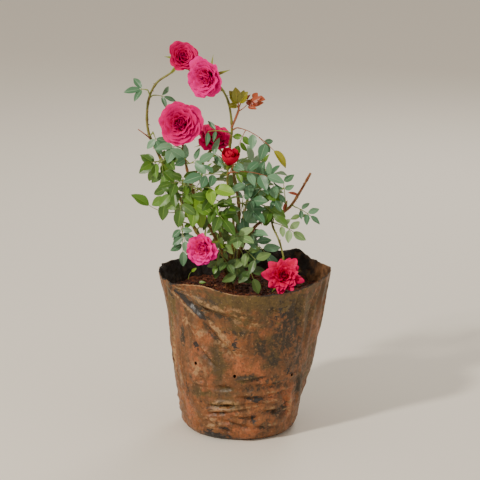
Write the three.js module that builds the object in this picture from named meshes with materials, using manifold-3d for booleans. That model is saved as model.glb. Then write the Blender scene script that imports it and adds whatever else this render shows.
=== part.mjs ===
// A miniature rose bush in a soft nursery bag: a filled plastic bag, a short woody trunk, thin canes,
// double blooms and compound leaves. Millimetres, +Z up. The origin is the centre of the bag's flat
// underside, and the front of the bush faces -Y.

import * as THREE from "three";
import { mergeVertices } from "three/addons/utils/BufferGeometryUtils.js";
import Module from "manifold-3d";

const wasm = await Module();
wasm.setup();

// Clearances
const SEAT_GAP = 0.35; // between two pieces that touch on the real plant
const SLIVER = 0.03; // edges shorter than this are merged

// The bag, filled and standing: a soft cone that widens to a wavy mouth. Mouth radii and rim heights are
// given every 30 degrees, anticlockwise from +X
const BAG_SEGMENTS = 40;
const BAG_MOUTH_HEIGHT = 165;
const BAG_FOOT_RADIUS = 53;
const BAG_LOW_RADIUS = 59.5;
const BAG_FLARE = 0.152; // radius gained for each millimetre of height
const BAG_HEEL_HEIGHT = 11; // height over which the foot rounds out
const BAG_WALL = 1.2;
const BAG_BELLY = { push: 3.6, draw: 1.6, height: 122, spread: 32 }; // full on the right, thin on the left
// Slow bulges: how many go round, how far each leans with height, where it starts, and how far it stands
// out low down and at the mouth
const BAG_BULGES = [
  { round: 2, lean: 0, start: 0.8, low: 0.9, high: 0 },
  { round: 5, lean: 0.02, start: 0, low: 0.6, high: 1.3 },
  { round: 9, lean: -0.03, start: 0, low: 0, high: 0.6 },
];
const MOUTH_RADII = [88, 86, 81, 77, 76, 78, 84, 84, 84, 84.5, 85.5, 87.5];
const RIM_HEIGHTS = [162, 161, 164, 164, 163, 163, 163.5, 158.5, 163, 156, 155, 161.5];
const RIM_PEAK = { bearing: 0.83, rise: 5, spread: 0.12 };
const SOIL_HEIGHT = 142; // rows above this stretch to meet the wavy rim
const BAG_ROWS = [0, 3, 9, 22, 48, 76, 101, 122, SOIL_HEIGHT, 153, BAG_MOUTH_HEIGHT];
const PLEAT_BEARING = 3.78; // radians, at the front left of the mouth
const PLEAT_WIDTH = 0.12;
const PLEAT_DEPTH = 5.5;
const PLEAT_LEAN = 0.008; // radians that the crease turns for each millimetre below the rim
const PLEAT_LENGTH = 62;
const DRAIN_HOLE_RADIUS = 1.6;
const DRAIN_HOLES = [
  [4.03, 80], [4.61, 71], [5.47, 67], [6.12, 72], [0.6, 75], [1.35, 70], [2.05, 76], [2.75, 69], [3.4, 73],
]; // bearing and height of each

// The soil that fills it
const SOIL_RINGS = [0.12, 0.42, 0.75, 1];
const SOIL_FLAT_RADIUS = 11;
const SOIL_ROUGHNESS = 2.1;
const SOIL_GAP = 1;

// The trunk: a short woody stump, flared where it leaves the soil
const TRUNK_TOP_HEIGHT = 171;
const TRUNK_FOOT = new THREE.Vector3(-13, -5, SOIL_HEIGHT + SEAT_GAP);
const TRUNK_RADII = [5.6, 3.7, 3.2];
const TRUNK_SIDES = 10;
const TRUNK_RINGS = 6;

// Canes: where each rises (parent and share of its length), the joints it grows through, foot and tip radii
const CANES = {
  cane_left: {
    rises: ["trunk", 0.62],
    joints: [[-28, -6, 179], [-46, -3, 202], [-64, 3, 238], [-82, 8, 275], [-93, 10, 300],
      [-93, 11, 328], [-85, 12, 347], [-70, 12, 358]],
    radii: [2.2, 1.1],
  },
  cane_mid: {
    rises: ["trunk", 0.82],
    joints: [[-22, -9, 186], [-36, -12, 217], [-49, -12, 245], [-55, -9, 269], [-58, -4, 286], [-60, 1, 300]],
    radii: [2.0, 1.1],
  },
  cane_dark: {
    rises: ["cane_mid", 0.58],
    joints: [[-44, 2, 262], [-37, 10, 273], [-31, 17, 281]],
    radii: [1.2, 1.0],
  },
  cane_centre: {
    rises: ["trunk", 0.9],
    joints: [[-7, 4, 193], [-3, 8, 223], [-8, 8, 256], [-12, 5, 282], [-10, 1, 303], [-12, -3, 325],
      [-16, -5, 338], [-23, -7, 349]],
    radii: [2.1, 1.1],
  },
  cane_front: {
    rises: ["trunk", 0.72],
    joints: [[-9, -13, 189], [-9, -18, 221], [-14, -21, 249], [-14, -21, 268]],
    radii: [1.7, 1.1],
  },
  cane_right: {
    rises: ["trunk", 0.5],
    joints: [[2, -3, 189], [14, 0, 206], [26, 2, 213], [38, 3, 218], [48, 3, 225],
      [58, 1, 241], [68, -2, 260]],
    radii: [2.0, 1.3],
  },
  cane_right_high: {
    rises: ["cane_right", 0.2],
    joints: [[4, 9, 202], [8, 14, 225], [20, 12, 243]],
    radii: [1.5, 1.0],
  },
  cane_low_left: {
    rises: ["trunk", 0.4],
    joints: [[-23, -14, 176], [-32, -24, 186]],
    radii: [1.4, 1.1],
  },
  cane_low_right: {
    rises: ["cane_right", 0.46],
    joints: [[31, -8, 206], [37, -18, 194], [41, -25, 180]],
    radii: [1.1, 1.0],
  },
  cane_back_left: {
    rises: ["trunk", 0.7],
    joints: [[-20, 14, 187], [-28, 28, 211], [-37, 38, 229]],
    radii: [1.8, 1.1],
  },
  cane_back_right: {
    rises: ["trunk", 0.56],
    joints: [[-6, 16, 183], [2, 32, 211], [8, 42, 236]],
    radii: [1.8, 1.1],
  },
};
const CANE_SIDES = 5;
const RINGS_PER_JOINT = 2;

// Blooms: the cane that each ends, where its middle is, its half-width, the way it faces, and its tint
const BLOOMS = {
  bloom_top_left: { cane: "cane_left", at: [-58, 7, 374], radius: 16,
    faces: [0.3, -0.86, 0.4], tint: "petal" },
  bloom_top_right: { cane: "cane_centre", at: [-35, -18, 357], radius: 20,
    faces: [-0.5, -0.85, -0.1], tint: "petal" },
  bloom_big: { cane: "cane_mid", at: [-60, -15, 312], radius: 21, faces: [-0.1, -0.96, 0.2], tint: "petal" },
  bloom_dark: { cane: "cane_dark", at: [-27, 21, 291], radius: 18, faces: [0.25, -0.5, 0.8], tint: "dark" },
  rose_bud: { cane: "cane_front", at: [-12, -21, 279], radius: 8.5,
    faces: [0.14, -0.3, 0.95], tint: "crimson" },
  bloom_low_left: { cane: "cane_low_left", at: [-39, -38, 192], radius: 17.5,
    faces: [-0.25, -0.9, -0.1], tint: "petal" },
  bloom_low_right: { cane: "cane_low_right", at: [41, -37, 164], radius: 19,
    faces: [0.05, -0.9, 0.3], tint: "crimson" },
};
const ROSETTE_SEGMENTS = 15;
// The turned outline of a bloom, in shares of its half-width: out from the base, then in over three tiers
const ROSETTE_TIERS = [
  [0, -0.48], [0.8, -0.16], [1, 0.1], [0.84, 0.22], [0.62, 0.1],
  [0.7, 0.36], [0.42, 0.3], [0.34, 0.48], [0, 0.4],
];
const BUD_HEIGHT = 1.05; // of its half-width
const SEPALS = 5;
const SEPAL_WIDTH = 3.4;
const NECK_RADII = [1.1, 2.2];
const PETAL_FLARE = 0.07; // how far each of the five petals of a tier is pushed out
const BUD_RIDGE = 0.1; // of its half-width

// Leaves: each mass rises from a cane on a twig that ends at its tip; its size scales the leaflets. Each
// spray has a clock angle seen from the front (0 right, 90 up), a turn away from the viewer, a reach, and a
// droop where it isn't the usual one
const MASSES = {
  leaves_top_left: { rises: ["cane_left", 0.79], tip: [-93, 6, 342], seed: 11, size: 0.95,
    sprays: [[160, -10, 25]] },
  leaves_top_inner: { rises: ["cane_left", 0.77], tip: [-88, 17, 335], seed: 12, size: 0.85,
    sprays: [[2, 10, 27]] },
  leaves_left_high: { rises: ["cane_left", 0.6], tip: [-88, 0, 301], seed: 13, size: 0.85,
    sprays: [[296, -25, 24]] },
  leaves_left_mid: { rises: ["cane_left", 0.49], tip: [-80, -8, 272], seed: 14,
    sprays: [[186, -15, 26], [282, -35, 32], [42, -20, 30]] },
  leaves_left_hang: { rises: ["cane_left", 0.4], tip: [-73, -10, 256], seed: 15, size: 1.05,
    sprays: [[256, -22, 40]] },
  leaves_left_out: { rises: ["cane_left", 0.32], tip: [-62, -7, 222], seed: 16, size: 1.1,
    sprays: [[190, -10, 52, -0.45]] },
  leaves_left_low: { rises: ["cane_left", 0.27], tip: [-63, -9, 212], seed: 17, size: 0.85,
    sprays: [[268, -12, 40], [292, -35, 34]] },
  leaves_left_inner: { rises: ["cane_left", 0.24], tip: [-42, -18, 209], seed: 18, size: 0.95,
    sprays: [[12, -30, 36]] },
  leaves_bud_right: { rises: ["cane_front", 0.93], tip: [-8, -26, 266], seed: 19, size: 1.1,
    sprays: [[2, -10, 54]] },
  leaves_bud_left: { rises: ["cane_front", 0.9], tip: [-20, -27, 263], seed: 20, sprays: [[170, -20, 40]] },
  leaves_mid_front: { rises: ["cane_mid", 0.52], tip: [-44, -25, 249], seed: 21, size: 1.2,
    sprays: [[288, -20, 40], [18, -25, 42]] },
  leaves_mid_left: { rises: ["cane_mid", 0.56], tip: [-57, -22, 252], seed: 22,
    sprays: [[205, -25, 36], [150, -25, 34], [262, -30, 40]] },
  leaves_mid: { rises: ["cane_mid", 0.4], tip: [-33, -25, 232], seed: 23, size: 1.1,
    sprays: [[52, -30, 38], [340, -40, 42]] },
  leaves_mid_high: { rises: ["cane_mid", 0.67], tip: [-52, -19, 273], seed: 24,
    sprays: [[20, -25, 34], [120, -20, 28]] },
  leaves_under_big: { rises: ["cane_mid", 0.8], tip: [-64, -6, 287], seed: 25, size: 1.1,
    sprays: [[160, -10, 22], [350, 20, 30]] },
  leaves_dark_front: { rises: ["cane_dark", 0.54], tip: [-33, -3, 272], seed: 26, size: 1.1,
    sprays: [[58, -20, 34]] },
  leaves_dark_bloom: { rises: ["cane_centre", 0.6], tip: [-17, -14, 304], seed: 27, size: 0.9,
    sprays: [[168, -20, 40]] },
  new_shoot: { rises: ["cane_centre", 0.64], tip: [-1, -2, 331], seed: 28, size: 0.55, young: true,
    sprays: [[112, -20, 19], [28, -5, 28]] },
  leaves_right_high: { rises: ["cane_centre", 0.62], tip: [-4, -5, 306], seed: 29, size: 1.15,
    sprays: [[352, -10, 58, 0.45]] },
  leaves_right_up: { rises: ["cane_right", 0.665], tip: [43, -1, 232], seed: 30, size: 0.85,
    sprays: [[95, -15, 50]] },
  leaves_right_out: { rises: ["cane_right", 0.72], tip: [52, -2, 226], seed: 31, size: 0.75,
    sprays: [[342, -10, 32]] },
  leaves_right_low: { rises: ["cane_right", 0.47], tip: [31, -4, 210], seed: 32, size: 0.8,
    sprays: [[346, -5, 36]] },
  leaves_right_mid: { rises: ["cane_right_high", 0.72], tip: [17, 2, 229], seed: 33, size: 1.2,
    sprays: [[346, -35, 44], [62, -5, 40]] },
  leaves_right_top: { rises: ["cane_right_high", 0.96], tip: [16, 5, 248], seed: 34,
    sprays: [[14, -30, 42], [166, -25, 34], [80, 5, 25]] },
  leaves_centre: { rises: ["cane_centre", 0.27], tip: [1, -5, 229], seed: 35,
    sprays: [[350, -45, 36], [40, -30, 34], [275, -40, 34]] },
  leaves_centre_left: { rises: ["cane_front", 0.6], tip: [-21, -27, 234], seed: 36,
    sprays: [[230, -20, 38], [140, -20, 38], [60, -50, 34]] },
  leaves_low_right: { rises: ["cane_right", 0.18], tip: [6, -17, 200], seed: 37, size: 1.2,
    sprays: [[322, -15, 46], [44, -35, 32]] },
  leaves_low_centre: { rises: ["cane_front", 0.3], tip: [-13, -27, 203], seed: 38,
    sprays: [[20, -40, 34], [112, -25, 34], [180, -30, 34]] },
  leaves_low_front: { rises: ["cane_front", 0.22], tip: [-3, -24, 192], seed: 39,
    sprays: [[266, -18, 50], [300, -14, 50], [330, -25, 46]] },
  leaves_low_left: { rises: ["cane_low_left", 0.6], tip: [-20, -26, 189], seed: 40, size: 0.8,
    sprays: [[262, -10, 28], [60, -30, 28]] },
  leaves_back_left: { rises: ["cane_back_left", 1], tip: [-43, 42, 236], seed: 41,
    sprays: [[150, 30, 46], [95, 35, 46], [215, 35, 46], [30, 40, 44]] },
  leaves_back_right: { rises: ["cane_back_right", 1], tip: [11, 47, 244], seed: 42,
    sprays: [[30, 35, 48], [95, 25, 44], [330, 35, 48], [165, 40, 44]] },
  leaves_back_low: { rises: ["cane_back_right", 0.4], tip: [-8, 34, 196], seed: 43,
    sprays: [[175, 45, 44], [250, 60, 40], [355, 45, 44]] },
  leaves_back_top: { rises: ["cane_centre", 0.44], tip: [-9, 22, 254], seed: 44,
    sprays: [[135, 30, 40], [352, 35, 44]] },
};

// The compound leaf: five leaflets on a thin stalk that arches over
const SPRAY_DROOP = 0.22;
const LEAFLET_PAIRS = [0.42, 0.78]; // shares of the stalk where the paired leaflets sit
const PAIR_SIZES = [0.76, 0.9]; // of the end leaflet's length
const SHORT_STALK = 19; // a stalk shorter than this carries one pair
const LEAFLET_LENGTH = 19;
const LEAFLET_WIDTH = 0.62; // of the leaflet's length
const LEAFLET_ANGLE = 62; // degrees from the stalk
const LEAFLET_THICKNESS = 0.32;
const LEAF_SIDES = 6;
const END_SINK = 1.2; // how far the end leaflet's root sits back in its stalk
const LEAF_FOLD = 0.2; // rise of the edges over the midrib, as a share of the half-width
const LEAF_CURL = 0.12; // drop of the tip, as a share of the length
const SPRAYS_FROM = 0.7; // shares of the twig between which its sprays rise
const SPRAYS_TO = 0.96;
const TWIG_SIDES = 3;
const STALK_RADII = [0.75, 0.55];
const TWIG_RADII = [1.1, 0.9];

const COLOURS = {
  bag: ["#6b4a36", 0.55],
  soil: ["#3a231a", 0.95],
  bark: ["#6d4a32", 0.8],
  cane: ["#56662a", 0.6],
  leaf: ["#4c7440", 0.55],
  young: ["#8a4a2a", 0.55],
  petal: ["#e3175f", 0.6],
  crimson: ["#c8143c", 0.6],
  dark: ["#8f0f36", 0.6],
};

const UP = new THREE.Vector3(0, 0, 1);
const vec = (p) => new THREE.Vector3(...p);
const radians = (degrees) => (degrees * Math.PI) / 180;
const mix = (a, b, t) => a + (b - a) * t;
const smooth = (low, high, x) => THREE.MathUtils.smoothstep(x, low, high);

// A repeatable stream of numbers from 0 to 1
function seeded(seed) {
  let state = seed * 7919;
  return () => {
    state = (state * 16807) % 2147483647;
    return state / 2147483647;
  };
}

// A closed three.js geometry as a solid that can be cut and joined
function solidOf(geometry, tolerance = 1e-4) {
  const bare = geometry.index ? geometry.toNonIndexed() : geometry.clone();
  bare.deleteAttribute("normal");
  bare.deleteAttribute("uv");
  const merged = mergeVertices(bare, tolerance);
  const solid = new wasm.Manifold(
    new wasm.Mesh({
      numProp: 3,
      vertProperties: merged.attributes.position.array,
      triVerts: new Uint32Array(merged.index.array),
    }),
  );
  if (solid.volume() > 0) return solid;
  for (let i = 0; i < merged.index.count; i += 3) {
    const first = merged.index.getX(i);
    merged.index.setX(i, merged.index.getX(i + 1));
    merged.index.setX(i + 1, first);
  }
  return solidOf(merged);
}

function geometryOf(solid) {
  const data = solid.getMesh();
  return new THREE.BufferGeometry()
    .setAttribute("position", new THREE.BufferAttribute(data.vertProperties, 3))
    .setIndex(new THREE.BufferAttribute(data.triVerts, 1));
}

// A solid as a named mesh with its finish
function piece(name, solid, [colour, roughness]) {
  const finish = new THREE.MeshStandardMaterial({ color: colour, roughness, metalness: 0 });
  const mesh = new THREE.Mesh(geometryOf(solid), finish);
  mesh.name = name;
  return mesh;
}

// The largest body of a solid, with its finest slivers merged, so that no loose scrap stays
function largest(solid) {
  const biggest = (from) => from.decompose().reduce((a, b) => (a.volume() > b.volume() ? a : b));
  const merged = solidOf(geometryOf(biggest(solid).simplify(SLIVER)), SLIVER / 10);
  return biggest(merged).simplify(SLIVER);
}

// Moves every vertex of a geometry by a function
function reshape(geometry, place) {
  const position = geometry.attributes.position;
  const p = new THREE.Vector3();
  for (let i = 0; i < position.count; i++) {
    p.fromBufferAttribute(position, i);
    place(p);
    position.setXYZ(i, p.x, p.y, p.z);
  }
  return geometry;
}

// The bag

// Value at a bearing between sizes that are given at even steps round the mouth
function roundMouth(sizes, bearing) {
  const at = (bearing / (2 * Math.PI)) * sizes.length;
  const i = Math.floor(at);
  return mix(sizes[i % sizes.length], sizes[(i + 1) % sizes.length], smooth(0, 1, at - i));
}

function rimHeight(bearing) {
  const off = (bearing - RIM_PEAK.bearing) / RIM_PEAK.spread;
  return roundMouth(RIM_HEIGHTS, bearing) + RIM_PEAK.rise * Math.exp(-off * off);
}

// Outer radius at a bearing and height, with slow bulges and the crease of the folded front
function bagRadius(bearing, z) {
  const lift = 1 - Math.min(1, z / BAG_HEEL_HEIGHT);
  const heel = mix(BAG_FOOT_RADIUS, BAG_LOW_RADIUS, Math.sqrt(1 - lift * lift));
  const high = smooth(20, BAG_MOUTH_HEIGHT, z);
  const mouth = roundMouth(MOUTH_RADII, bearing) - BAG_LOW_RADIUS - BAG_FLARE * BAG_MOUTH_HEIGHT;
  const offBelly = (z - BAG_BELLY.height) / BAG_BELLY.spread;
  const belly = (BAG_BELLY.push * Math.cos(bearing) - BAG_BELLY.draw) * Math.exp(-offBelly * offBelly);
  const bulges = BAG_BULGES.reduce((sum, bulge) => {
    const turn = bulge.round * bearing + bulge.lean * z + bulge.start;
    return sum + mix(bulge.low, bulge.high, high) * Math.sin(turn);
  }, 0);
  const below = BAG_MOUTH_HEIGHT - z;
  const off = (bearing - PLEAT_BEARING - PLEAT_LEAN * below) / PLEAT_WIDTH;
  const pleat = PLEAT_DEPTH * Math.exp(-off * off) * (1 - smooth(0, PLEAT_LENGTH, below));
  return heel + BAG_FLARE * z + mouth * high + belly + bulges * smooth(4, 60, z) - pleat;
}

// Radius of the film's inner face; the floor ends inside the rounded heel
function innerRadius(bearing, z) {
  return bagRadius(bearing, z < BAG_ROWS[2] ? 0 : z) - BAG_WALL;
}

function bearingOf(x, y) {
  return (Math.atan2(y, x) + 2 * Math.PI) % (2 * Math.PI);
}

function bagShell() {
  const outer = BAG_ROWS.map((z) => new THREE.Vector2(1, z));
  const inner = [BAG_WALL, ...BAG_ROWS.slice(2)].reverse().map((z) => new THREE.Vector2(0.5, z));
  const profile = [new THREE.Vector2(0, 0), ...outer, ...inner, new THREE.Vector2(0, BAG_WALL)];
  const shell = new THREE.LatheGeometry(profile, BAG_SEGMENTS);
  return reshape(shell, (p) => {
    const mark = Math.hypot(p.x, p.z);
    const bearing = bearingOf(p.x, p.z);
    const lift = Math.max(0, p.y - SOIL_HEIGHT) / (BAG_MOUTH_HEIGHT - SOIL_HEIGHT);
    const z = p.y + lift * (rimHeight(bearing) - BAG_MOUTH_HEIGHT);
    const radius = mark < 0.1 ? 0 : mark > 0.75 ? bagRadius(bearing, z) : innerRadius(bearing, z);
    p.set(Math.cos(bearing) * radius, Math.sin(bearing) * radius, z);
  });
}

// One punched drain hole: a short bar that is cut out of the wall
function drainHole([bearing, height]) {
  const bar = new THREE.CylinderGeometry(DRAIN_HOLE_RADIUS, DRAIN_HOLE_RADIUS, 8, 6);
  bar.rotateZ(Math.PI / 2).rotateZ(bearing);
  const radius = bagRadius(bearing, height) - BAG_WALL / 2;
  return solidOf(bar.translate(Math.cos(bearing) * radius, Math.sin(bearing) * radius, height));
}

function makeBag() {
  return solidOf(bagShell()).subtract(wasm.Manifold.union(DRAIN_HOLES.map(drainHole)));
}

// The soil

// Height of the crumbly top: flat under the trunk and along the film, rough elsewhere
function soilTop(x, y, share) {
  const fromTrunk = Math.hypot(x - TRUNK_FOOT.x, y - TRUNK_FOOT.y);
  const away = smooth(SOIL_FLAT_RADIUS, 2.4 * SOIL_FLAT_RADIUS, fromTrunk);
  const rough = Math.sin(0.11 * x + 1.3) * Math.cos(0.09 * y) + 0.5 * Math.sin(0.27 * x - 0.2 * y);
  return SOIL_HEIGHT + away * (share < 0.99 ? 1 : 0) * SOIL_ROUGHNESS * (rough - 0.6);
}

// Listed from the top down, like the inside of the bag, so that both have their faces split the same way
function makeSoil() {
  const rings = SOIL_RINGS.map((share) => new THREE.Vector2(share, SOIL_HEIGHT));
  const rows = BAG_ROWS.slice(2).filter((z) => z < SOIL_HEIGHT);
  const side = [0, ...rows].reverse().map((z) => new THREE.Vector2(1, z));
  const profile = [new THREE.Vector2(0, SOIL_HEIGHT), ...rings, ...side, new THREE.Vector2(0, 0)];
  const fill = new THREE.LatheGeometry(profile, BAG_SEGMENTS);
  return solidOf(
    reshape(fill, (p) => {
      const share = Math.hypot(p.x, p.z);
      const bearing = bearingOf(p.x, p.z);
      const radius = share * (innerRadius(bearing, p.y) - SOIL_GAP);
      const top = p.y === SOIL_HEIGHT;
      const centred = top ? 1 - share : 0;
      const x = Math.cos(bearing) * radius + centred * TRUNK_FOOT.x;
      const y = Math.sin(bearing) * radius + centred * TRUNK_FOOT.y;
      p.set(x, y, top ? soilTop(x, y, share) : Math.max(p.y, BAG_WALL + SEAT_GAP));
    }),
  );
}

// Limbs

// A tapering rod along a curve, bent from a cylinder; extra swells it all round, to cut its neighbours clear
function rod(curve, radii, sides, rings, extra = 0) {
  const frames = curve.computeFrenetFrames(rings);
  const straight = new THREE.CylinderGeometry(1, 1, 1, sides, rings);
  return solidOf(
    reshape(straight, (p) => {
      const ring = Math.round((0.5 - p.y) * rings);
      const t = ring / rings;
      const radius = radiusAt(radii, t) + extra;
      const across = p.x * radius;
      const over = p.z * radius;
      const beyond = ring === 0 ? -extra : ring === rings ? extra : 0;
      p.copy(curve.getPointAt(t))
        .addScaledVector(frames.tangents[ring], beyond)
        .addScaledVector(frames.normals[ring], across)
        .addScaledVector(frames.binormals[ring], over);
    }),
  );
}

// Radius at share t of a limb that is given by two or three radii
function radiusAt(radii, t) {
  const span = radii.length - 1;
  const i = Math.min(span - 1, Math.floor(t * span));
  return mix(radii[i], radii[i + 1], t * span - i);
}

function curveThrough(points) {
  return new THREE.CatmullRomCurve3(points, false, "catmullrom", 0.5);
}

// The trunk and canes as curves with their radii, in the order in which they grow
function growLimbs() {
  const top = TRUNK_FOOT.clone().add(new THREE.Vector3(-1, 1, TRUNK_TOP_HEIGHT - TRUNK_FOOT.z));
  const middle = TRUNK_FOOT.clone().lerp(top, 0.45).add(new THREE.Vector3(0.6, -0.4, 0));
  const trunk = curveThrough([TRUNK_FOOT, middle, top]);
  const limbs = { trunk: { curve: trunk, radii: TRUNK_RADII, rings: TRUNK_RINGS } };
  for (const [name, cane] of Object.entries(CANES)) {
    const [parent, share] = cane.rises;
    const foot = limbs[parent].curve.getPoint(share);
    const points = [foot, ...cane.joints.map(vec)];
    const rings = RINGS_PER_JOINT * cane.joints.length;
    limbs[name] = { curve: curveThrough(points), radii: cane.radii, rings };
  }
  return limbs;
}

// Leaves

// The unit vector of a clock angle seen from the front and a turn away from the viewer, in degrees
function aimOf(clock, turn) {
  const across = Math.cos(radians(turn));
  return new THREE.Vector3(
    Math.cos(radians(clock)) * across,
    Math.sin(radians(turn)),
    Math.sin(radians(clock)) * across,
  );
}

// Makes v square to axis, at length 1
function squareTo(v, axis) {
  return v.clone().addScaledVector(axis, -v.dot(axis)).normalize();
}

// One compound leaf: a stalk that arches over, with a leaflet at its end and pairs behind it
function growSpray(foot, [clock, turn, reach, droop = SPRAY_DROOP], size, random) {
  const aim = aimOf(clock + mix(-5, 5, random()), turn + mix(-5, 5, random()));
  const light = new THREE.Vector3(mix(-0.35, 0.35, random()), turn > 20 ? 0.6 : -0.75, 0.65);
  const length = Math.max(0.3 * reach, reach - LEAFLET_LENGTH * size);
  const stalkAt = (s) =>
    foot.clone().addScaledVector(aim, length * s).addScaledVector(UP, -droop * length * s * s);
  const wayAt = (s) => aim.clone().addScaledVector(UP, -2 * droop * s).normalize();
  const leaflets = [];
  const grow = (s, side, share) => {
    const along = wayAt(s);
    const normal = squareTo(light, along);
    const way = along.clone().applyAxisAngle(normal, radians(side * (LEAFLET_ANGLE + mix(-9, 9, random()))));
    const across = normal.clone().cross(way);
    normal.addScaledVector(across, mix(-0.35, 0.35, random())).addScaledVector(way, mix(-0.1, 0.3, random()));
    const long = LEAFLET_LENGTH * size * share * mix(0.9, 1.08, random());
    const root = stalkAt(s).addScaledVector(way, side === 0 ? -END_SINK : 0);
    leaflets.push({ share: s, root, way, normal: squareTo(normal, way), length: long });
  };
  LEAFLET_PAIRS.forEach((s, i) => {
    if (i === 0 && length < SHORT_STALK * size) return;
    grow(s, 1, PAIR_SIZES[i]);
    grow(s, -1, PAIR_SIZES[i]);
  });
  grow(1, 0, 1);
  return { stalkAt, leaflets };
}

// Every mass with its twig and sprays, before any leaflet is left out
function growMasses(limbs) {
  return Object.entries(MASSES).map(([name, mass]) => {
    const [parent, share] = mass.rises;
    const foot = limbs[parent].curve.getPoint(share);
    const tip = vec(mass.tip);
    const random = seeded(mass.seed);
    const bow = new THREE.Vector3(mix(-1, 1, random()), mix(-1, 1, random()), mix(0, 1.5, random()));
    const twig = curveThrough([foot, foot.clone().lerp(tip, 0.5).add(bow), tip]);
    const last = mass.sprays.length - 1;
    const sprays = mass.sprays.map((spray, i) => {
      const at = last === 0 ? SPRAYS_TO : mix(SPRAYS_FROM, SPRAYS_TO, i / last);
      return growSpray(twig.getPoint(at), spray, mass.size ?? 1, random);
    });
    return { name, twig, sprays, young: mass.young === true };
  });
}

// Half the width of a leaf's outline at share s of its length: pointed, and widest before the middle
function leafOutline(s) {
  return Math.sin(Math.PI * s ** 0.85) ** 0.8;
}

// A thin blade: a ball flattened on its outline with a rim and two middles, bent by lift(s, side)
function blade(length, width, thickness, sides, outline, lift) {
  const ball = new THREE.SphereGeometry(1, sides, 2);
  return reshape(ball, (p) => {
    const s = Math.min(1, Math.max(0, (p.x + 1) / 2));
    const rim = Math.abs(p.y) < 0.5;
    const side = rim && Math.abs(p.z) > 0.01 ? Math.sign(p.z) * outline(s) : 0;
    const middle = rim ? 0 : (Math.sign(p.y) * thickness) / 2;
    p.set(s * length, (side * width) / 2, middle + lift(s, side) * length);
  });
}

// Puts a blade with its root at a point, its length along way and its upper side towards normal
function placeBlade(geometry, root, way, normal) {
  const across = normal.clone().cross(way);
  return geometry.applyMatrix4(new THREE.Matrix4().makeBasis(way, across, normal).setPosition(root));
}

function leafletSolid({ root, way, normal, length }) {
  const lift = (s, side) => (LEAF_FOLD * Math.abs(side) * LEAFLET_WIDTH) / 2 - LEAF_CURL * s * s;
  const shape = blade(length, length * LEAFLET_WIDTH, LEAFLET_THICKNESS, LEAF_SIDES, leafOutline, lift);
  return solidOf(placeBlade(shape, root, way, normal));
}

// The twig and the stalks of a mass
function skeletonSolid({ twig, sprays }) {
  const stalks = sprays.map(({ stalkAt, leaflets }) => {
    const end = Math.max(LEAFLET_PAIRS[0], ...leaflets.map((leaflet) => leaflet.share));
    const points = [0, 0.5, 1].map((s) => stalkAt(s * end));
    return rod(curveThrough(points), STALK_RADII, TWIG_SIDES, 2);
  });
  return wasm.Manifold.union([rod(twig, TWIG_RADII, TWIG_SIDES, 3), ...stalks]);
}

// Whether a solid keeps clear of each of the others
function standsClear(solid, others) {
  return others.every((other) => solid.minGap(other, 2 * SEAT_GAP) > SEAT_GAP);
}

// The solids of all masses: a leaflet that would touch a cane, a bloom, the pot or another mass is left out,
// so each mass keeps to the space that its neighbours leave it
function massSolids(masses, obstacles, room) {
  const skeletons = masses.map(skeletonSolid);
  const grown = [];
  masses.forEach((mass, i) => {
    const others = [...obstacles, ...grown, ...skeletons.filter((_, j) => j !== i)];
    for (const spray of mass.sprays) {
      for (const leaflet of spray.leaflets) leaflet.solid = leafletSolid(leaflet);
      spray.leaflets = spray.leaflets.filter((leaflet) => standsClear(leaflet.solid, others));
    }
    const blades = mass.sprays.flatMap((spray) => spray.leaflets.map((leaflet) => leaflet.solid));
    grown.push(largest(wasm.Manifold.union([skeletonSolid(mass), ...blades]).subtract(room)));
  });
  return grown;
}

// Blooms

// A double bloom's body: a turned rosette whose tiers are pushed out into five petals each
function rosette(radius) {
  const profile = ROSETTE_TIERS.map(([share, height]) => new THREE.Vector2(share * radius, height * radius));
  const turned = new THREE.LatheGeometry(profile, ROSETTE_SEGMENTS);
  return reshape(turned, (p) => {
    const share = Math.hypot(p.x, p.z) / radius;
    const petal = Math.cos(5 * Math.atan2(p.z, p.x) + 7 * share);
    const flare = 1 + PETAL_FLARE * petal;
    p.set(p.x * flare, p.y + 0.08 * radius * share * petal, p.z * flare);
  });
}

// An opening bud: an egg with a shallow twist
function budBody(radius) {
  const ball = new THREE.SphereGeometry(radius, 10, 6);
  return reshape(ball, (p) => {
    const ridge = 0.86 + BUD_RIDGE * Math.cos(3 * Math.atan2(p.z, p.x) + (2 * p.y) / radius);
    p.set(p.x * ridge, p.y * BUD_HEIGHT, p.z * ridge);
  });
}

// A bloom or bud with its sepals and its neck, which ends at the tip of its cane
function bloomSolid({ at, radius, faces }, limb, bud) {
  const axis = vec(faces).normalize();
  const side = squareTo(UP, axis);
  const middle = vec(at);
  const body = (bud ? budBody(radius) : rosette(radius)).applyMatrix4(
    new THREE.Matrix4().makeBasis(side, axis, side.clone().cross(axis)).setPosition(middle),
  );
  const bodies = [solidOf(body)];
  const base = middle.clone().addScaledVector(axis, (bud ? -1.1 : -0.38) * radius);
  for (let i = 0; i < SEPALS; i++) {
    const radial = side.clone().applyAxisAngle(axis, radians(36 + 72 * i));
    const way = radial.clone().addScaledVector(axis, bud ? 1.6 : -0.1).normalize();
    const shape = blade((bud ? 1.7 : 1.05) * radius, SEPAL_WIDTH, 0.8, 6, leafOutline, (s) => 0.08 * s * s);
    bodies.push(solidOf(placeBlade(shape, base, way, squareTo(axis, way))));
  }
  const tip = limb.curve.getPoint(1);
  const bend = base.clone().addScaledVector(axis, -0.35 * radius);
  const inside = base.clone().addScaledVector(axis, 0.2 * radius);
  bodies.push(rod(curveThrough([tip, bend, inside]), NECK_RADII, 5, 4));
  return wasm.Manifold.union(bodies);
}

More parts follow.
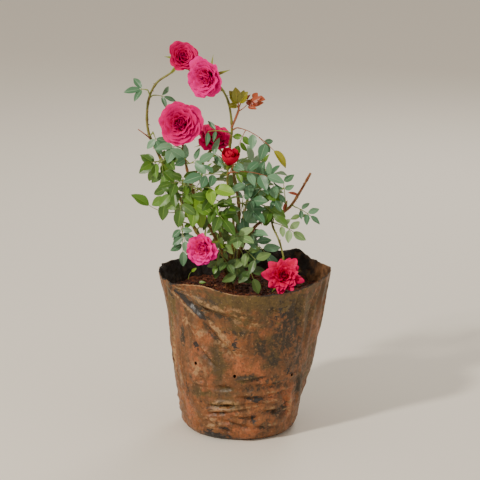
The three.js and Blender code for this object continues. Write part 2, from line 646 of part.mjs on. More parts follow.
// Everything together
function buildRoseBush() {
  const bush = new THREE.Group();
  bush.name = "rose_bush";
  const bag = makeBag();
  const soil = makeSoil();
  bush.add(piece("bag", bag, COLOURS.bag), piece("soil", soil, COLOURS.soil));
  const obstacles = [bag, soil];

  const limbs = growLimbs();
  let room = null;
  for (const [name, limb] of Object.entries(limbs)) {
    const isTrunk = name === "trunk";
    const sides = isTrunk ? TRUNK_SIDES : CANE_SIDES;
    const whole = rod(limb.curve, limb.radii, sides, limb.rings);
    const solid = isTrunk ? whole.trimByPlane([0, 0, 1], TRUNK_FOOT.z) : largest(whole.subtract(room));
    bush.add(piece(name, solid, isTrunk ? COLOURS.bark : COLOURS.cane));
    obstacles.push(solid);
    const swollen = rod(limb.curve, limb.radii, sides, limb.rings, SEAT_GAP);
    room = room === null ? swollen : room.add(swollen);
  }

  for (const [name, bloom] of Object.entries(BLOOMS)) {
    const solid = largest(bloomSolid(bloom, limbs[bloom.cane], name === "rose_bud").subtract(room));
    bush.add(piece(name, solid, COLOURS[bloom.tint]));
    obstacles.push(solid);
  }

  const masses = growMasses(limbs);
  massSolids(masses, obstacles, room).forEach((solid, i) => {
    bush.add(piece(masses[i].name, solid, masses[i].young ? COLOURS.young : COLOURS.leaf));
  });
  return bush;
}

export default buildRoseBush();
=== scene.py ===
# %% [markdown]
# # A miniature rose bush in a nursery bag
#
# This lesson dresses a small potted rose: a soft black film bag smeared with mud, crumbly soil, a short
# woody trunk, thin green and reddish canes, leaves of up to five leaflets, a bud, and double blooms with
# some forty petals each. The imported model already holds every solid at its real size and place. The lesson
# keeps those places, grows finer shapes over them by the same rules, and gives each its finish.

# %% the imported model
import math

import bpy
import numpy as np
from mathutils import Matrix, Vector, noise
from mathutils.bvhtree import BVHTree


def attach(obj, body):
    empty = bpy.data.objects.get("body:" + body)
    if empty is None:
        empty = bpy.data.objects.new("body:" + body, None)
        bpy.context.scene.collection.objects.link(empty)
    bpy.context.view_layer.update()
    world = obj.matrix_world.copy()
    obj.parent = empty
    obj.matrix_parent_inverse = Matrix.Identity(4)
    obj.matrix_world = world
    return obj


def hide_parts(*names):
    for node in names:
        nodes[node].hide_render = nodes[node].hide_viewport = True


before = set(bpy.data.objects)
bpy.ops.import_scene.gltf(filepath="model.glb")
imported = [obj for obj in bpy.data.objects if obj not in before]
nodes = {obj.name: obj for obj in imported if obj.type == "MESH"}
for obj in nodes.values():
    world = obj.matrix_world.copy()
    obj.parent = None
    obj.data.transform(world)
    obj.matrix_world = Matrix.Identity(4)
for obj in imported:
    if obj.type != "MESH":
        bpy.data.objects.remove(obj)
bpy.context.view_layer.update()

# %% [markdown]
# ## Units and small helpers
#
# A grower measures a plant in millimetres, so the tables and rules below do too, and points turn into
# metres only when a mesh is made. A smooth line through a few joints carries every limb. Shapes made of
# many small parts are gathered in a heap and become one mesh, which keeps the scene light.

# %% helpers for numbers and directions
MM = 0.001
UP = np.array([0.0, 0.0, 1.0])


def mix(a, b, t):
    return a + (b - a) * t


def smooth(low, high, x):
    t = np.clip((np.asarray(x, float) - low) / (high - low), 0, 1)
    return t * t * (3 - 2 * t)


def unit(v):
    v = np.asarray(v, float)
    return v / np.linalg.norm(v)


def square_to(v, axis):
    return unit(v - axis * np.dot(v, axis))


def turned(v, axis, degrees):
    angle = math.radians(degrees)
    side = np.cross(axis, v)
    return v * math.cos(angle) + side * math.sin(angle) + axis * np.dot(axis, v) * (1 - math.cos(angle))


def seeded(seed):
    """A repeatable stream of numbers from 0 to 1."""
    state = seed * 7919

    def draw():
        nonlocal state
        state = (state * 16807) % 2147483647
        return state / 2147483647

    return draw


# %% a smooth line through joints
class Line:
    """A smooth line through points, which passes through each of them."""

    def __init__(self, points):
        self.points = [np.asarray(p, float) for p in points]

    def at(self, t):
        p, spans = self.points, len(self.points) - 1
        i = min(int(t * spans), spans - 1)
        w = t * spans - i
        before = p[i - 1] if i > 0 else 2 * p[0] - p[1]
        after = p[i + 2] if i + 2 <= spans else 2 * p[-1] - p[-2]
        a, b = p[i], p[i + 1]
        leave, arrive = 0.5 * (b - before), 0.5 * (after - a)
        bend = (2 * a - 2 * b + leave + arrive) * w**3 + (3 * b - 3 * a - 2 * leave - arrive) * w**2
        return bend + leave * w + a

    def even(self, step):
        """Points about one step apart along the line, and the line's length."""
        fine = np.array([self.at(t) for t in np.linspace(0, 1, 240)])
        marks = np.concatenate([[0], np.cumsum(np.linalg.norm(np.diff(fine, axis=0), axis=1))])
        places = np.linspace(0, marks[-1], max(3, int(marks[-1] / step) + 1))
        return np.stack([np.interp(places, marks, fine[:, k]) for k in range(3)], 1), marks[-1]


# %% a heap of small shapes that becomes one mesh
class Heap:
    def __init__(self):
        self.points, self.faces, self.slots, self.values, self.maps = [], [], [], [], []
        self.count = 0

    def add(self, points, faces, slot=0, value=0.0, place=None):
        """Adds a shape. Slot and value are one for all, or one for each face and each point."""
        points = np.asarray(points, float)
        self.points.append(points)
        self.faces += [tuple(i + self.count for i in face) for face in faces]
        self.slots += [slot] * len(faces) if np.isscalar(slot) else list(slot)
        self.values.append(np.broadcast_to(np.asarray(value, float), (len(points),)))
        self.maps.append(np.zeros((len(points), 4)) if place is None else place)
        self.count += len(points)

    def build(self, name, finishes, value_name=None, map_names=(), crease=60):
        points = np.concatenate(self.points) * MM
        mesh = bpy.data.meshes.new(name)
        mesh.from_pydata(points.tolist(), [], self.faces)
        for finish in finishes:
            mesh.materials.append(finish)
        mesh.polygons.foreach_set("material_index", np.array(self.slots, np.int32))
        mesh.polygons.foreach_set("use_smooth", np.ones(len(self.faces), bool))
        if value_name:
            layer = mesh.attributes.new(value_name, "FLOAT", "POINT")
            layer.data.foreach_set("value", np.concatenate(self.values).astype(np.float32))
        if map_names:
            corners = np.empty(len(mesh.loops), np.int32)
            mesh.loops.foreach_get("vertex_index", corners)
            spots = np.concatenate(self.maps)[corners]
            for k, map_name in enumerate(map_names):
                layer = mesh.uv_layers.new(name=map_name)
                layer.data.foreach_set("uv", spots[:, 2 * k:2 * k + 2].astype(np.float32).ravel())
        mesh.update()
        mesh.set_sharp_from_angle(angle=math.radians(crease))
        piece = bpy.data.objects.new(name, mesh)
        bpy.context.scene.collection.objects.link(piece)
        print(name, "triangles:", sum(len(face) - 2 for face in self.faces))
        return piece


def dress(piece, slot, *replaced):
    """The piece rides on the plant's one body and stands for these solids. The slot is not used."""
    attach(piece, "root")
    if replaced:
        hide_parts(*replaced)
    return piece


# %% closed skins round a stack of rings, and tubes
def skin(rings):
    """Points and faces of a closed skin over rings of equal size, with a pole at each end."""
    rings = np.asarray(rings, float)
    count, around = rings.shape[:2]
    points = np.concatenate([rings.reshape(-1, 3), rings[0].mean(0)[None], rings[-1].mean(0)[None]])
    faces = []
    for i in range(around):
        j = (i + 1) % around
        faces.append((count * around, j, i))
        faces.append((count * around + 1, (count - 1) * around + i, (count - 1) * around + j))
        for k in range(count - 1):
            faces.append((k * around + i, k * around + j, (k + 1) * around + j, (k + 1) * around + i))
    return points, faces


ANY_WAY = np.array([0.31, 0.95, 0.12])  # a direction that no limb follows


def tube(points, radii, sides, relief=None):
    """A closed tube along points; relief(ring, angle) scales its radius."""
    points = np.asarray(points, float)
    ways = np.gradient(points, axis=0)
    ways /= np.linalg.norm(ways, axis=1)[:, None]
    side = square_to(ANY_WAY, ways[0])
    angles = np.arange(sides) * 2 * math.pi / sides
    rings = []
    for k, (point, way) in enumerate(zip(points, ways)):
        side = square_to(side, way)
        over = np.cross(way, side)
        radius = radii[k] * (relief(k, angles) if relief else np.ones(sides))
        spokes = np.cos(angles)[:, None] * side + np.sin(angles)[:, None] * over
        rings.append(point + radius[:, None] * spokes)
    return skin(rings)


# %% [markdown]
# ## Shared effects for the finishes
#
# Mud, bark, soil and petals all vary in patches and have a fine grain. Each effect is a node group with
# named inputs, built once, so that every finish sets only its own sizes. A patch group gives a mask from 0
# to 1, and a grain group a height for a Bump node.

# %% node groups
def paint(code):
    """A colour as a painter names it, such as "#6b4a36", in the linear values that shaders use."""
    parts = [int(code[i:i + 2], 16) / 255 for i in (1, 3, 5)]
    return tuple(c / 12.92 if c <= 0.04045 else ((c + 0.055) / 1.055) ** 2.4 for c in parts) + (1.0,)


def put(tree, kind, inputs, **settings):
    """Adds a node. Each input gets a value, a colour as a painter names it, or the output that feeds it."""
    node = tree.nodes.new("ShaderNode" + kind)
    for name, value in settings.items():
        setattr(node, name, value)
    for label, value in inputs.items():
        if isinstance(value, bpy.types.NodeSocket):
            tree.links.new(value, node.inputs[label])
        else:
            node.inputs[label].default_value = paint(value) if isinstance(value, str) else value
    return node.outputs


def new_effect(name, output, **inputs):
    """An empty node group: what it is given by name, and the end that it feeds."""
    group = bpy.data.node_groups.new(name, "ShaderNodeTree")
    for label, value in inputs.items():
        kind = "NodeSocketVector" if isinstance(value, tuple) else "NodeSocketFloat"
        group.interface.new_socket(label, in_out="INPUT", socket_type=kind).default_value = value
    group.interface.new_socket(output, in_out="OUTPUT", socket_type="NodeSocketFloat")
    given, ends = group.nodes.new("NodeGroupInput").outputs, group.nodes.new("NodeGroupOutput").inputs
    return group, given, ends[output]


def read_place(group, given):
    """The place and size at which a pattern is read: stretched, shifted and scaled."""
    where = put(group, "TexCoord", {})["Object"]
    moves = {0: where, 1: given["Stretch"], 2: given["Shift"]}
    return {"Vector": put(group, "VectorMath", moves, operation="MULTIPLY_ADD")[0], "Scale": given["Size"]}


def soft_span(tree, value, low, high):
    """A mask that rises softly from 0 to 1 while a value goes from low to high."""
    marks = {"Value": value, "From Min": low, "From Max": high}
    return put(tree, "MapRange", marks, interpolation_type="SMOOTHSTEP")["Result"]


def make_patches():
    """Soft patches: a mask from cloudy noise between a low and a high mark."""
    group, given, mask = new_effect(
        "Patches", "Mask", Size=50.0, Stretch=(1, 1, 1), Shift=(0, 0, 0), Low=0.4, High=0.6)
    cloudy = {"Detail": 5.0, "Roughness": 0.62, "Distortion": 0.35}
    patches = put(group, "TexNoise", {**read_place(group, given), **cloudy})["Fac"]
    group.links.new(soft_span(group, patches, given["Low"], given["High"]), mask)
    return group


def make_grain():
    """Fine grain: a height that adds small pits to a cloudy roughness."""
    group, given, height = new_effect(
        "Grain", "Height", Size=600.0, Stretch=(1, 1, 1), Shift=(0, 0, 0), Pits=0.4)
    place = read_place(group, given)
    rough = put(group, "TexNoise", {**place, "Detail": 4.0})["Fac"]
    pits = put(group, "TexVoronoi", place)["Distance"]
    total = put(group, "Math", {0: pits, 1: given["Pits"], 2: rough}, operation="MULTIPLY_ADD")
    group.links.new(total[0], height)
    return group


PATCHES = make_patches()
GRAIN = make_grain()
print("effects:", PATCHES.name, GRAIN.name)


# %% a finish and its parts
class Finish:
    """A material that is put together from effects."""

    def __init__(self, name, colour, roughness, specular=0.5):
        self.material = bpy.data.materials.new(name)
        self.material.use_nodes = True
        self.tree = self.material.node_tree
        self.shader = self.tree.nodes["Principled BSDF"].inputs
        self.shader["Base Color"].default_value = paint(colour)
        self.shader["Roughness"].default_value = roughness
        self.shader["Specular IOR Level"].default_value = specular

    def effect(self, group, **settings):
        return put(self.tree, "Group", settings, node_tree=group)[0]

    def carried(self, name):
        """A value that the mesh carries at its points."""
        return put(self.tree, "Attribute", {}, attribute_name=name)["Fac"]

    def blend(self, mask, under, over):
        """Mixes two colours by a mask. Each is a colour code or an earlier blend."""
        return put(self.tree, "Mix", {0: mask, 6: under, 7: over}, data_type="RGBA")[2]

    def scale(self, mask, low, high):
        """A value that runs from low to high with a mask."""
        return put(self.tree, "MapRange", {"Value": mask, "To Min": low, "To Max": high})["Result"]

    def times(self, a, b):
        return put(self.tree, "Math", {0: a, 1: b}, operation="MULTIPLY")[0]

    def bump(self, height, depth, after=None):
        """Roughens the surface by a height, over an earlier bump if there is one. The depth is in metres."""
        under = {} if after is None else {"Normal": after}
        return put(self.tree, "Bump", {"Distance": depth, "Height": height, **under})["Normal"]

    def wear(self, colour=None, roughness=None, normal=None):
        for label, socket in (("Base Color", colour), ("Roughness", roughness), ("Normal", normal)):
            if socket is not None:
                self.tree.links.new(socket, self.shader[label])
        return self.material


# %% [markdown]
# ## The bag
#
# The bag is a tube of soft black film, pressed out by wet soil and smeared all over with mud. Its outline is
# a soft cone with a wavy mouth. The front panel of its rim folds over the left one, and a crease runs down
# from that fold. The film hangs in thin upright folds near the rim, crumples in level folds near the foot,
# and is punched with drain holes. One closed skin of rings makes it, so every fold is real shape. Random
# crumples and placed creases add up, and a limit on how far they stand out keeps the outline calm. The film
# is shown half a millimetre thick, which still reads as a thin edge.

# %% the bag's sizes, close to the solid's
MOUTH_HEIGHT = 165
FOOT_RADIUS = 53
LOW_RADIUS = 59.5
FLARE = 0.152
HEEL_HEIGHT = 11
SOIL_HEIGHT = 142
MOUTH_RADII = [88, 86, 81, 77, 76, 78, 84, 84, 84, 84.5, 85.5, 87.5]
RIM_HEIGHTS = [162, 161, 164, 164, 163, 163, 163.5, 158.5, 163, 156, 155, 161.5]
PEAK_BEARING, PEAK_WIDTH, PEAK_RISE = 0.83, 0.12, 5
# The film draws in at its waist. On the right it is slimmer than the solid, both there and low down
WAIST_HEIGHT, WAIST_REACH, WAIST_DEPTH, WAIST_SHIFT = 122, 32, 3.2, 1.8
SLIM_BEARING, SLIM_DEPTH, SLIM_HEIGHTS = 0.15, 5.5, (15, 75)
BULGES = [  # waves round it: count, lean, start, and how high they are at the foot and at the top
    (2, 0, 0.8, 0.9, 0), (5, 0.02, 0, 0.6, 1.3), (9, -0.03, 0, 0, 0.6),
]
PLEAT_BEARING, PLEAT_WIDTH, PLEAT_DEPTH, PLEAT_LEAN, PLEAT_LENGTH = 3.68, 0.12, 4.2, 0.015, 62
FILM = 0.5
DRAIN_HOLES = [  # bearing and height
    (4.03, 80), (4.61, 71), (5.47, 67), (6.12, 72), (0.6, 75), (1.35, 70), (2.05, 76), (2.75, 69), (3.4, 73),
]


def bell(x):
    """A smooth hill: 1 at 0, and next to nothing beyond 2."""
    return np.exp(-(x**2))


def round_mouth(sizes, bearing):
    at = np.asarray(bearing) / (2 * math.pi) * len(sizes)
    i = np.floor(at).astype(int)
    sizes = np.asarray(sizes, float)
    return mix(sizes[i % len(sizes)], sizes[(i + 1) % len(sizes)], smooth(0, 1, at - i))


def rim_height(bearing):
    return round_mouth(RIM_HEIGHTS, bearing) + PEAK_RISE * bell((bearing - PEAK_BEARING) / PEAK_WIDTH)


def bag_radius(bearing, z):
    """The bag's outer radius at a bearing and a height, before its fine folds."""
    lift = 1 - np.minimum(1, z / HEEL_HEIGHT)
    heel = mix(FOOT_RADIUS, LOW_RADIUS, np.sqrt(1 - lift**2))
    high = smooth(20, MOUTH_HEIGHT, z)
    mouth = round_mouth(MOUTH_RADII, bearing) - LOW_RADIUS - FLARE * MOUTH_HEIGHT
    belly = (WAIST_SHIFT * np.cos(bearing) - WAIST_DEPTH) * bell((z - WAIST_HEIGHT) / WAIST_REACH)
    slim = SLIM_DEPTH * np.maximum(0, np.cos(bearing - SLIM_BEARING)) ** 2 * (1 - smooth(*SLIM_HEIGHTS, z))
    bulges = sum(mix(foot, top, high) * np.sin(count * bearing + lean * z + start)
                 for count, lean, start, foot, top in BULGES)
    below = MOUTH_HEIGHT - z
    off = (bearing - PLEAT_BEARING - PLEAT_LEAN * below) / PLEAT_WIDTH
    pleat = PLEAT_DEPTH * bell(off) * (1 - smooth(0, PLEAT_LENGTH, below))
    return heel + FLARE * z + mouth * high + (belly - slim) + bulges * smooth(4, 60, z) - pleat


# %% the film's folds
def table(columns, text):
    """Rows of plain numbers."""
    return np.array(text.split(), float).reshape(-1, columns)


# Each crease is a row: bearing and height of its two ends, its width, and how far it stands out. A hollow
# lies below a level crease, or left of an upright one
CREASES = table(6, """
    3.7 158 3.98 160 1.3 2   3.7 156 4.04 155 1.4 2.2   3.72 154 4.02 149 1.4 2   3.74 157 4.2 148 1.7 1.4
    3.66 152 3.6 118 1.5 1.3   3.56 150 3.5 112 1.6 1.2   3.6 118 3.7 62 2.4 1.2
    3.42 150 3.52 46 2.4 1.5   3.28 140 3.36 60 2.2 1.2   3.72 96 3.88 30 2.4 1.5
    3.52 66 3.66 18 2.2 1.2   3.12 150 3.2 84 2.6 1.2   4.16 132 4.66 96 4.2 2.8   4.05 104 4.4 80 2.6 1.8
    3.9 151 4.7 134 4.6 2.2   4.5 146 5.1 122 5 1.2   3.84 138 4.1 100 2.6 1.9   5.1 157 5.22 120 3.6 1.7
    5.5 157 5.62 96 3.2 2.1   5.78 158 5.74 88 2.4 2   5.94 158 5.92 120 1.8 1.2
    6.1 158 6.12 100 2.4 1.2   4.8 120 5.3 100 4.5 1   4.16 40 4.72 43 2.3 2.6   4.1 30 4.74 37 2 2.1
    4.62 52 5.1 49 2.2 1.7   4.98 52 5.66 54 2 1.6   4.84 44 5.4 42 2.2 1.7   4.6 66 5.1 72 2 1.4
    3.9 62 4.2 57 2 1.5   4.1 24 4.44 17 1.7 1.7   4.2 20 4.6 11 1.7 1.5   4.44 30 4.96 27 1.9 1.4
    5 36 5.5 30 2 1.4   4.8 20 5.34 15 1.9 1.3   5.46 46 5.66 12 2 1.5   3.84 24 4.16 10 1.8 1.5
    4.05 9 4.4 5 1.3 1.3   5.5 14 5.8 6 1.5 1.3   5.66 74 5.8 30 2.2 1.4   0.35 150 0.5 70 3 1.4
    0.95 148 0.9 90 2.6 1.2   1.7 152 1.9 60 3 1.5   2.35 148 2.3 80 2.6 1.3   2.7 150 2.9 90 2.4 1.3
    1.3 140 1.1 80 2.8 1.2   0.5 40 1.3 46 2.2 1.8   1.5 30 2.4 36 2.2 1.9   2.3 52 3.1 44 2.2 1.6
    0.1 24 0.8 20 2.2 1.5   6 48 6.6 42 3 1   1 58 1.9 62 2.4 1.5   2 20 2.9 14 2 1.6   3 30 3.6 34 3 1
    0.9 12 1.8 16 1.9 1.4   4.3 62 4.74 60 2.4 1   5.2 24 5.62 36 2.4 1.6   4.66 36 5.2 41 2.2 1.5
    5.3 60 5.74 20 2.6 1.5   5.16 96 5.5 62 3.4 1.2   4.44 26 4.9 16 2.2 1.4   4.86 62 5.74 65 3.6 1.2
    4.74 33 5.7 40 3.6 1.1   4.86 10 5.66 24 3.2 1.1
""")
UNROLLED = 78  # the radius at which bearings are measured as widths
LEVEL_STAND, UPRIGHT_STAND = 2.1, 1.5  # how strongly the two kinds of crease show
# How far each kind of crumple stands out, in millimetres
LEVEL, UPRIGHT, DENTS, FLUTTER, SLACK, WEB = 1.5, 1.0, 0.34, 2.0, 1.5, 1.5
# Heights between which the level crumples end, the upright ones begin, and the film comes free of the soil
LEVEL_ENDS, UPRIGHT_BEGINS, FREE_BEGINS = (44, 84), (56, 120), (136, 162)
print("creases:", len(CREASES))


def wrapped(bearing):
    """A difference of bearings, taken the short way round."""
    return (bearing + math.pi) % (2 * math.pi) - math.pi


def crease_height(bearing, z):
    """How far the film stands out along the creases."""
    total = np.zeros(np.broadcast(bearing, z).shape)
    for b0, z0, b1, z1, width, height in CREASES:
        x, y = wrapped(bearing - (b0 + b1) / 2) * UNROLLED, z - (z0 + z1) / 2
        half = np.array([(b1 - b0) * UNROLLED, z1 - z0]) / 2
        long = np.hypot(*half)
        along = (x * half[0] + y * half[1]) / long**2
        across = (x * half[1] - y * half[0]) / long / width
        fade = np.clip(1 - along**2, 0, 1) ** 0.7
        level = abs(half[0]) > abs(half[1])
        stand = LEVEL_STAND * (0.3 + 0.7 * np.abs(np.sin(bearing))) if level else UPRIGHT_STAND
        ridge = np.exp(-np.abs(across) ** 1.5) - 0.75 * bell(across - 1.35)
        total += stand * height * fade * ridge
    return total


def cloud(x, y, z):
    """Soft random hills and hollows about one unit wide, from -1 to 1."""
    return noise.noise(Vector((x, y, z)))


def ring_cloud(bearings, size, z):
    """The same, read round a circle, so that it joins up with itself."""
    return np.array([cloud(size * math.cos(b), size * math.sin(b), z) for b in bearings])


def ridged(x, y, z):
    """Sharp random crumples at one point, from about -1 to 1."""
    return 1 - 2.6 * abs(cloud(x, y, z))


def crumple(bearing, z):
    """Level crumples low down, upright folds high up, small dents everywhere, and slack film between."""
    x, y = UNROLLED * math.cos(bearing), UNROLLED * math.sin(bearing)
    low = 1 - float(smooth(*LEVEL_ENDS, z))
    high = float(smooth(*UPRIGHT_BEGINS, z))
    free = float(smooth(*FREE_BEGINS, z))
    level = ridged(x / 22, y / 22, z / 7.5) + 0.32 * ridged(x / 9, y / 9, z / 3.6 + 7)
    upright = ridged(x / 9, y / 9, z / 60 + 3) + 0.5 * ridged(x / 26, y / 26, z / 50 + 8)
    dents = ridged(x / 11 + 9, y / 11, z / 11) + 0.55 * ridged(x / 4.5, y / 4.5 + 5, z / 4.5)
    flutter = cloud(x / 13, y / 13, z / 40 + 20)
    slack = cloud(x / 24, y / 24 + 3, z / 30)
    web = max(0, ridged(x / 60 + 5, y / 60, z / 52)) ** 3
    aside = 0.35 + 0.65 * abs(math.sin(bearing))
    return (LEVEL * low * aside * level + UPRIGHT * high * upright + DENTS * dents + FLUTTER * free * flutter
            + SLACK * aside * slack + WEB * aside * web)


# %% the front panel's fold
FOLD_START = (3.70, 157)
FOLD_LEAN = 0.0193  # how far its bearing moves for each millimetre down
FOLD_STRIP = 5.2  # width of the sunken strip beside it
FOLD_BEGINS, FOLD_ENDS = (-12, -5), (18, 38)  # distances down from its start
PANEL_STAND, STRIP_DEPTH, BEYOND_DEPTH, SEAM_STAND = 4.0, 2.2, 1.6, 0.5
LIP_RADIUS, LIP_WIDTH, LIP_STAND = 2.4, 0.9, 0.5


def fold_place(bearing, z):
    """Distance across the fold line, positive on the front panel, and distance down from its start."""
    below = FOLD_START[1] - z
    slope = FOLD_LEAN * UNROLLED
    across = wrapped(bearing - FOLD_START[0] - FOLD_LEAN * below) * UNROLLED / math.hypot(1, slope)
    return across, below


def fold_over(bearing, z):
    """The front panel stands out past its fold line. Beside it lies a sunken strip with a raised seam."""
    across, below = fold_place(bearing, z)
    shown = smooth(*FOLD_BEGINS, below) * (1 - smooth(*FOLD_ENDS, below))
    step = smooth(-1.6, 1.4, across)
    edge = smooth(-FOLD_STRIP - 3.4, -FOLD_STRIP + 0.6, across)
    panel = np.exp(-np.maximum(across, 0) / 12) * step
    beyond = np.exp(np.minimum(across + FOLD_STRIP, 0) / 7) * (1 - edge)
    seam = bell((across + FOLD_STRIP + 1.6) / 2.2)
    sunken = STRIP_DEPTH * edge * (1 - step)
    return shown * (PANEL_STAND * panel - sunken - BEYOND_DEPTH * beyond + SEAM_STAND * seam)


def hole_lips(bearing, z):
    """Small raised rims round the punched holes."""
    total = np.zeros(np.broadcast(bearing, z).shape)
    for hole_bearing, hole_height in DRAIN_HOLES:
        wide = wrapped(bearing - hole_bearing) * bag_radius(hole_bearing, hole_height)
        away = np.hypot(wide, z - hole_height)
        total += LIP_STAND * bell((away - LIP_RADIUS) / LIP_WIDTH)
    return total


# %% the bag's skin
BAG_AROUND = 340
ROW_STEP = 1.3
FOOT_RADII = (8, 24, 40, 49)
HEEL_ROWS, FIRST_ROW = [0.0, 0.4, 1.2, 2.2, 3.4], 4.6
FLOOR_HEIGHT, FLOOR_RADIUS = 1.2, 30  # the middle of the film's inner floor
MOST_STAND = 3.6  # no crumple stands out further than this


def crowded_bearings():
    """Bearings round the bag, closer together at the front fold than elsewhere."""
    fine = np.linspace(0, 2 * math.pi, 4000)
    crowd = 1 + 1.7 * bell((fine - 4.0) / 0.42) + 0.5 * bell((fine - 4.8) / 0.8)
    marks = np.concatenate([[0], np.cumsum(crowd[:-1])])
    return np.interp(np.linspace(0, marks[-1], BAG_AROUND + 1)[:-1], marks, fine)


BEARINGS = crowded_bearings()


def ring_at(bearings, radius, z):
    """Points round the upright axis."""
    return np.stack([np.cos(bearings) * radius, np.sin(bearings) * radius, z + 0 * bearings], 1)


def ragged_rim(bearings):
    """The rim's height, with the small waves of a hand-torn edge."""
    waves = 0.8 * ring_cloud(bearings, 9, 4.0) + 0.3 * ring_cloud(bearings, 30, 8.0)
    return rim_height(bearings) + waves


def film_point(bearings, row, inward=0.0, folded=True):
    """One ring of the film. Rows above the soil stretch to meet the wavy rim."""
    lift = max(0, row - SOIL_HEIGHT) / (MOUTH_HEIGHT - SOIL_HEIGHT)
    z = row + lift * (ragged_rim(bearings) - MOUTH_HEIGHT)
    radius = bag_radius(bearings, z)
    if folded:
        crumples = crease_height(bearings, z) + np.array([crumple(b, h) for b, h in zip(bearings, z)])
        crumples = MOST_STAND * np.tanh(crumples / MOST_STAND)
        folds = crumples + fold_over(bearings, z) + hole_lips(bearings, z)
        radius = radius + smooth(0.5, 6, z) * folds
    return ring_at(bearings, radius - inward, z)


def bag_rings():
    flat = ring_at(BEARINGS, 1, 0)
    rings = [flat * radius for radius in FOOT_RADII]
    rows = HEEL_ROWS + list(np.arange(FIRST_ROW, MOUTH_HEIGHT - 0.5, ROW_STEP)) + [MOUTH_HEIGHT]
    wall = [film_point(BEARINGS, row) for row in rows]
    lip = film_point(BEARINGS, MOUTH_HEIGHT, FILM / 2)
    lip[:, 2] += FILM / 2
    rings += wall + [lip]
    for ring in wall[:3:-1]:
        rings.append(ring - FILM * flat)
    rings += [film_point(BEARINGS, 2.2, 4, folded=False), flat * FLOOR_RADIUS + UP * FLOOR_HEIGHT]
    return rings


# %% punching the drain holes
HOLE_WIDE, HOLE_HIGH, HOLE_SIDES = 1.5, 1.8, 14
PUNCH_IN, PUNCH_OUT = 6, 8


def punch(film):
    """Cuts the drain holes through the film."""
    heap = Heap()
    angles = np.arange(HOLE_SIDES) * 2 * math.pi / HOLE_SIDES
    for bearing, height in DRAIN_HOLES:
        way = np.array([math.cos(bearing), math.sin(bearing), 0])
        middle = way * bag_radius(bearing, height) + UP * height
        side = np.cross(UP, way)
        ring = HOLE_WIDE * np.cos(angles)[:, None] * side + HOLE_HIGH * np.sin(angles)[:, None] * UP
        heap.add(*skin([middle - PUNCH_IN * way + ring, middle + PUNCH_OUT * way + ring]))
    punches = heap.build("punches", [])
    cut = film.modifiers.new("holes", "BOOLEAN")
    cut.operation = "DIFFERENCE"
    cut.solver = "EXACT"
    cut.object = punches
    holed = film.evaluated_get(bpy.context.evaluated_depsgraph_get())
    holed = bpy.data.meshes.new_from_object(holed)
    film.modifiers.remove(cut)
    film.data = holed
    bpy.data.objects.remove(punches)
    return film


# %% where the mud and some painted highlights lie
# Soft spots of each kind: bearing, height, half-width and half-height in millimetres, and strength
SPOTS = {
    "olive": table(5, """
        4.9 148 60 13 1   4.3 143 26 12 0.8   5.6 140 34 22 0.7   4.38 84 7 16 0.9   4.14 48 10 6 0.8
        4.51 56 8 4 0.7   4.75 128 18 10 0.7   5 108 16 10 0.6   4.4 40 16 4 0.9   3.45 100 7 40 0.7
        3.6 138 8 14 0.9   4.82 68 13 4 0.8   5.13 87 8 8 0.8   0.4 120 40 30 0.8   1.6 70 40 30 0.6
        2.6 130 40 22 0.8   3 60 14 26 0.5   1 30 30 12 0.6   5.9 60 14 30 0.5
    """),
    "dark": table(5, """
        4.3 146 14 5 0.5   5.4 120 12 24 0.7   3.83 50 3 8 0.9   3.91 64 3 3 0.8   3.79 104 3 10 0.9
        4.82 69 12 3 0.9   5.15 86 6 6 0.8   4.97 100 9 10 0.6   5.7 52 7 12 0.8   4.55 116 26 2.4 0.6
        5.3 108 16 16 0.6   5.09 17 9 5 0.7   4.5 34 16 2 0.5   5.2 62 16 6 0.5   5.55 90 8 20 0.5
        4.2 33 8 2 0.6   3.64 148 3 10 0.8   0.2 80 20 20 0.5   1.2 110 18 24 0.6   2.2 60 24 10 0.6
        2.9 100 10 30 0.6   1.8 22 26 8 0.6   5.35 30 12 8 0.6   4.9 58 12 3 0.6
    """),
    "bare": table(5, """
        4.05 99 3.4 3.2 1   4.92 47 9 4.5 0.75   4.45 14 5 2.5 0.7   4.2 4 16 4.2 1.3   4.38 1 12 1.6 1.2
        5.74 5 5 3.5 1   4.6 103 5 6 0.35   5.2 136 8 10 0.35   4.86 24 4 3 0.6   4.1 38 3 3 0.5
        0.7 50 9 4 0.7   2 100 6 8 0.6   1.4 4 16 3 1   2.8 30 6 4 0.6   5.4 72 5 4 0.4   0 130 7 12 0.4
    """),
    # Pale spots are dust, and the thin level ones along crease ridges are painted highlights
    "dust_and_highlight": table(5, """
        4.48 104 10 5 0.7   4.62 96 10 5 0.6   3.86 122 5 5 0.8   4.45 41 14 2.2 1   4.4 35 14 2 0.8
        4.2 24 12 2 0.6   3.52 80 3 30 0.7   4.66 132 7 5 0.7   4.84 124 10 4 0.6   5.1 52 10 1.6 0.6
        5.55 28 3 16 0.7   4.1 112 9 8 0.5   3.66 60 4 18 0.6   4.05 73 12 10 0.5   0.5 90 20 16 0.5
        1.6 44 22 4 0.7   2.4 90 16 12 0.5   4.22 15 8 3 0.7
    """),
    "rusty": table(5, """
        4.15 80 22 26 1   4.3 110 24 10 0.8   4.7 84 16 14 0.9   4.95 74 12 18 0.9   4.5 30 30 14 0.8
        5.2 48 20 8 0.8   3.78 30 10 26 0.9   3.84 132 5 12 1   5.5 40 12 22 0.9   3.4 70 8 40 0.6
        4.7 10 40 8 0.7   1.2 76 34 20 0.8   2.5 50 30 20 0.8   0.3 40 26 16 0.8   2.1 120 26 12 0.7
        5 118 10 6 0.6
    """),
}
RIM_HIGHLIGHT_BEARING, RIM_HIGHLIGHT_WIDTH = 4.3, 0.4  # where the rim turns over and gets a painted highlight
LINING_BEARING, LINING_WIDTH = 0.15, 0.6  # where the inside is dusty


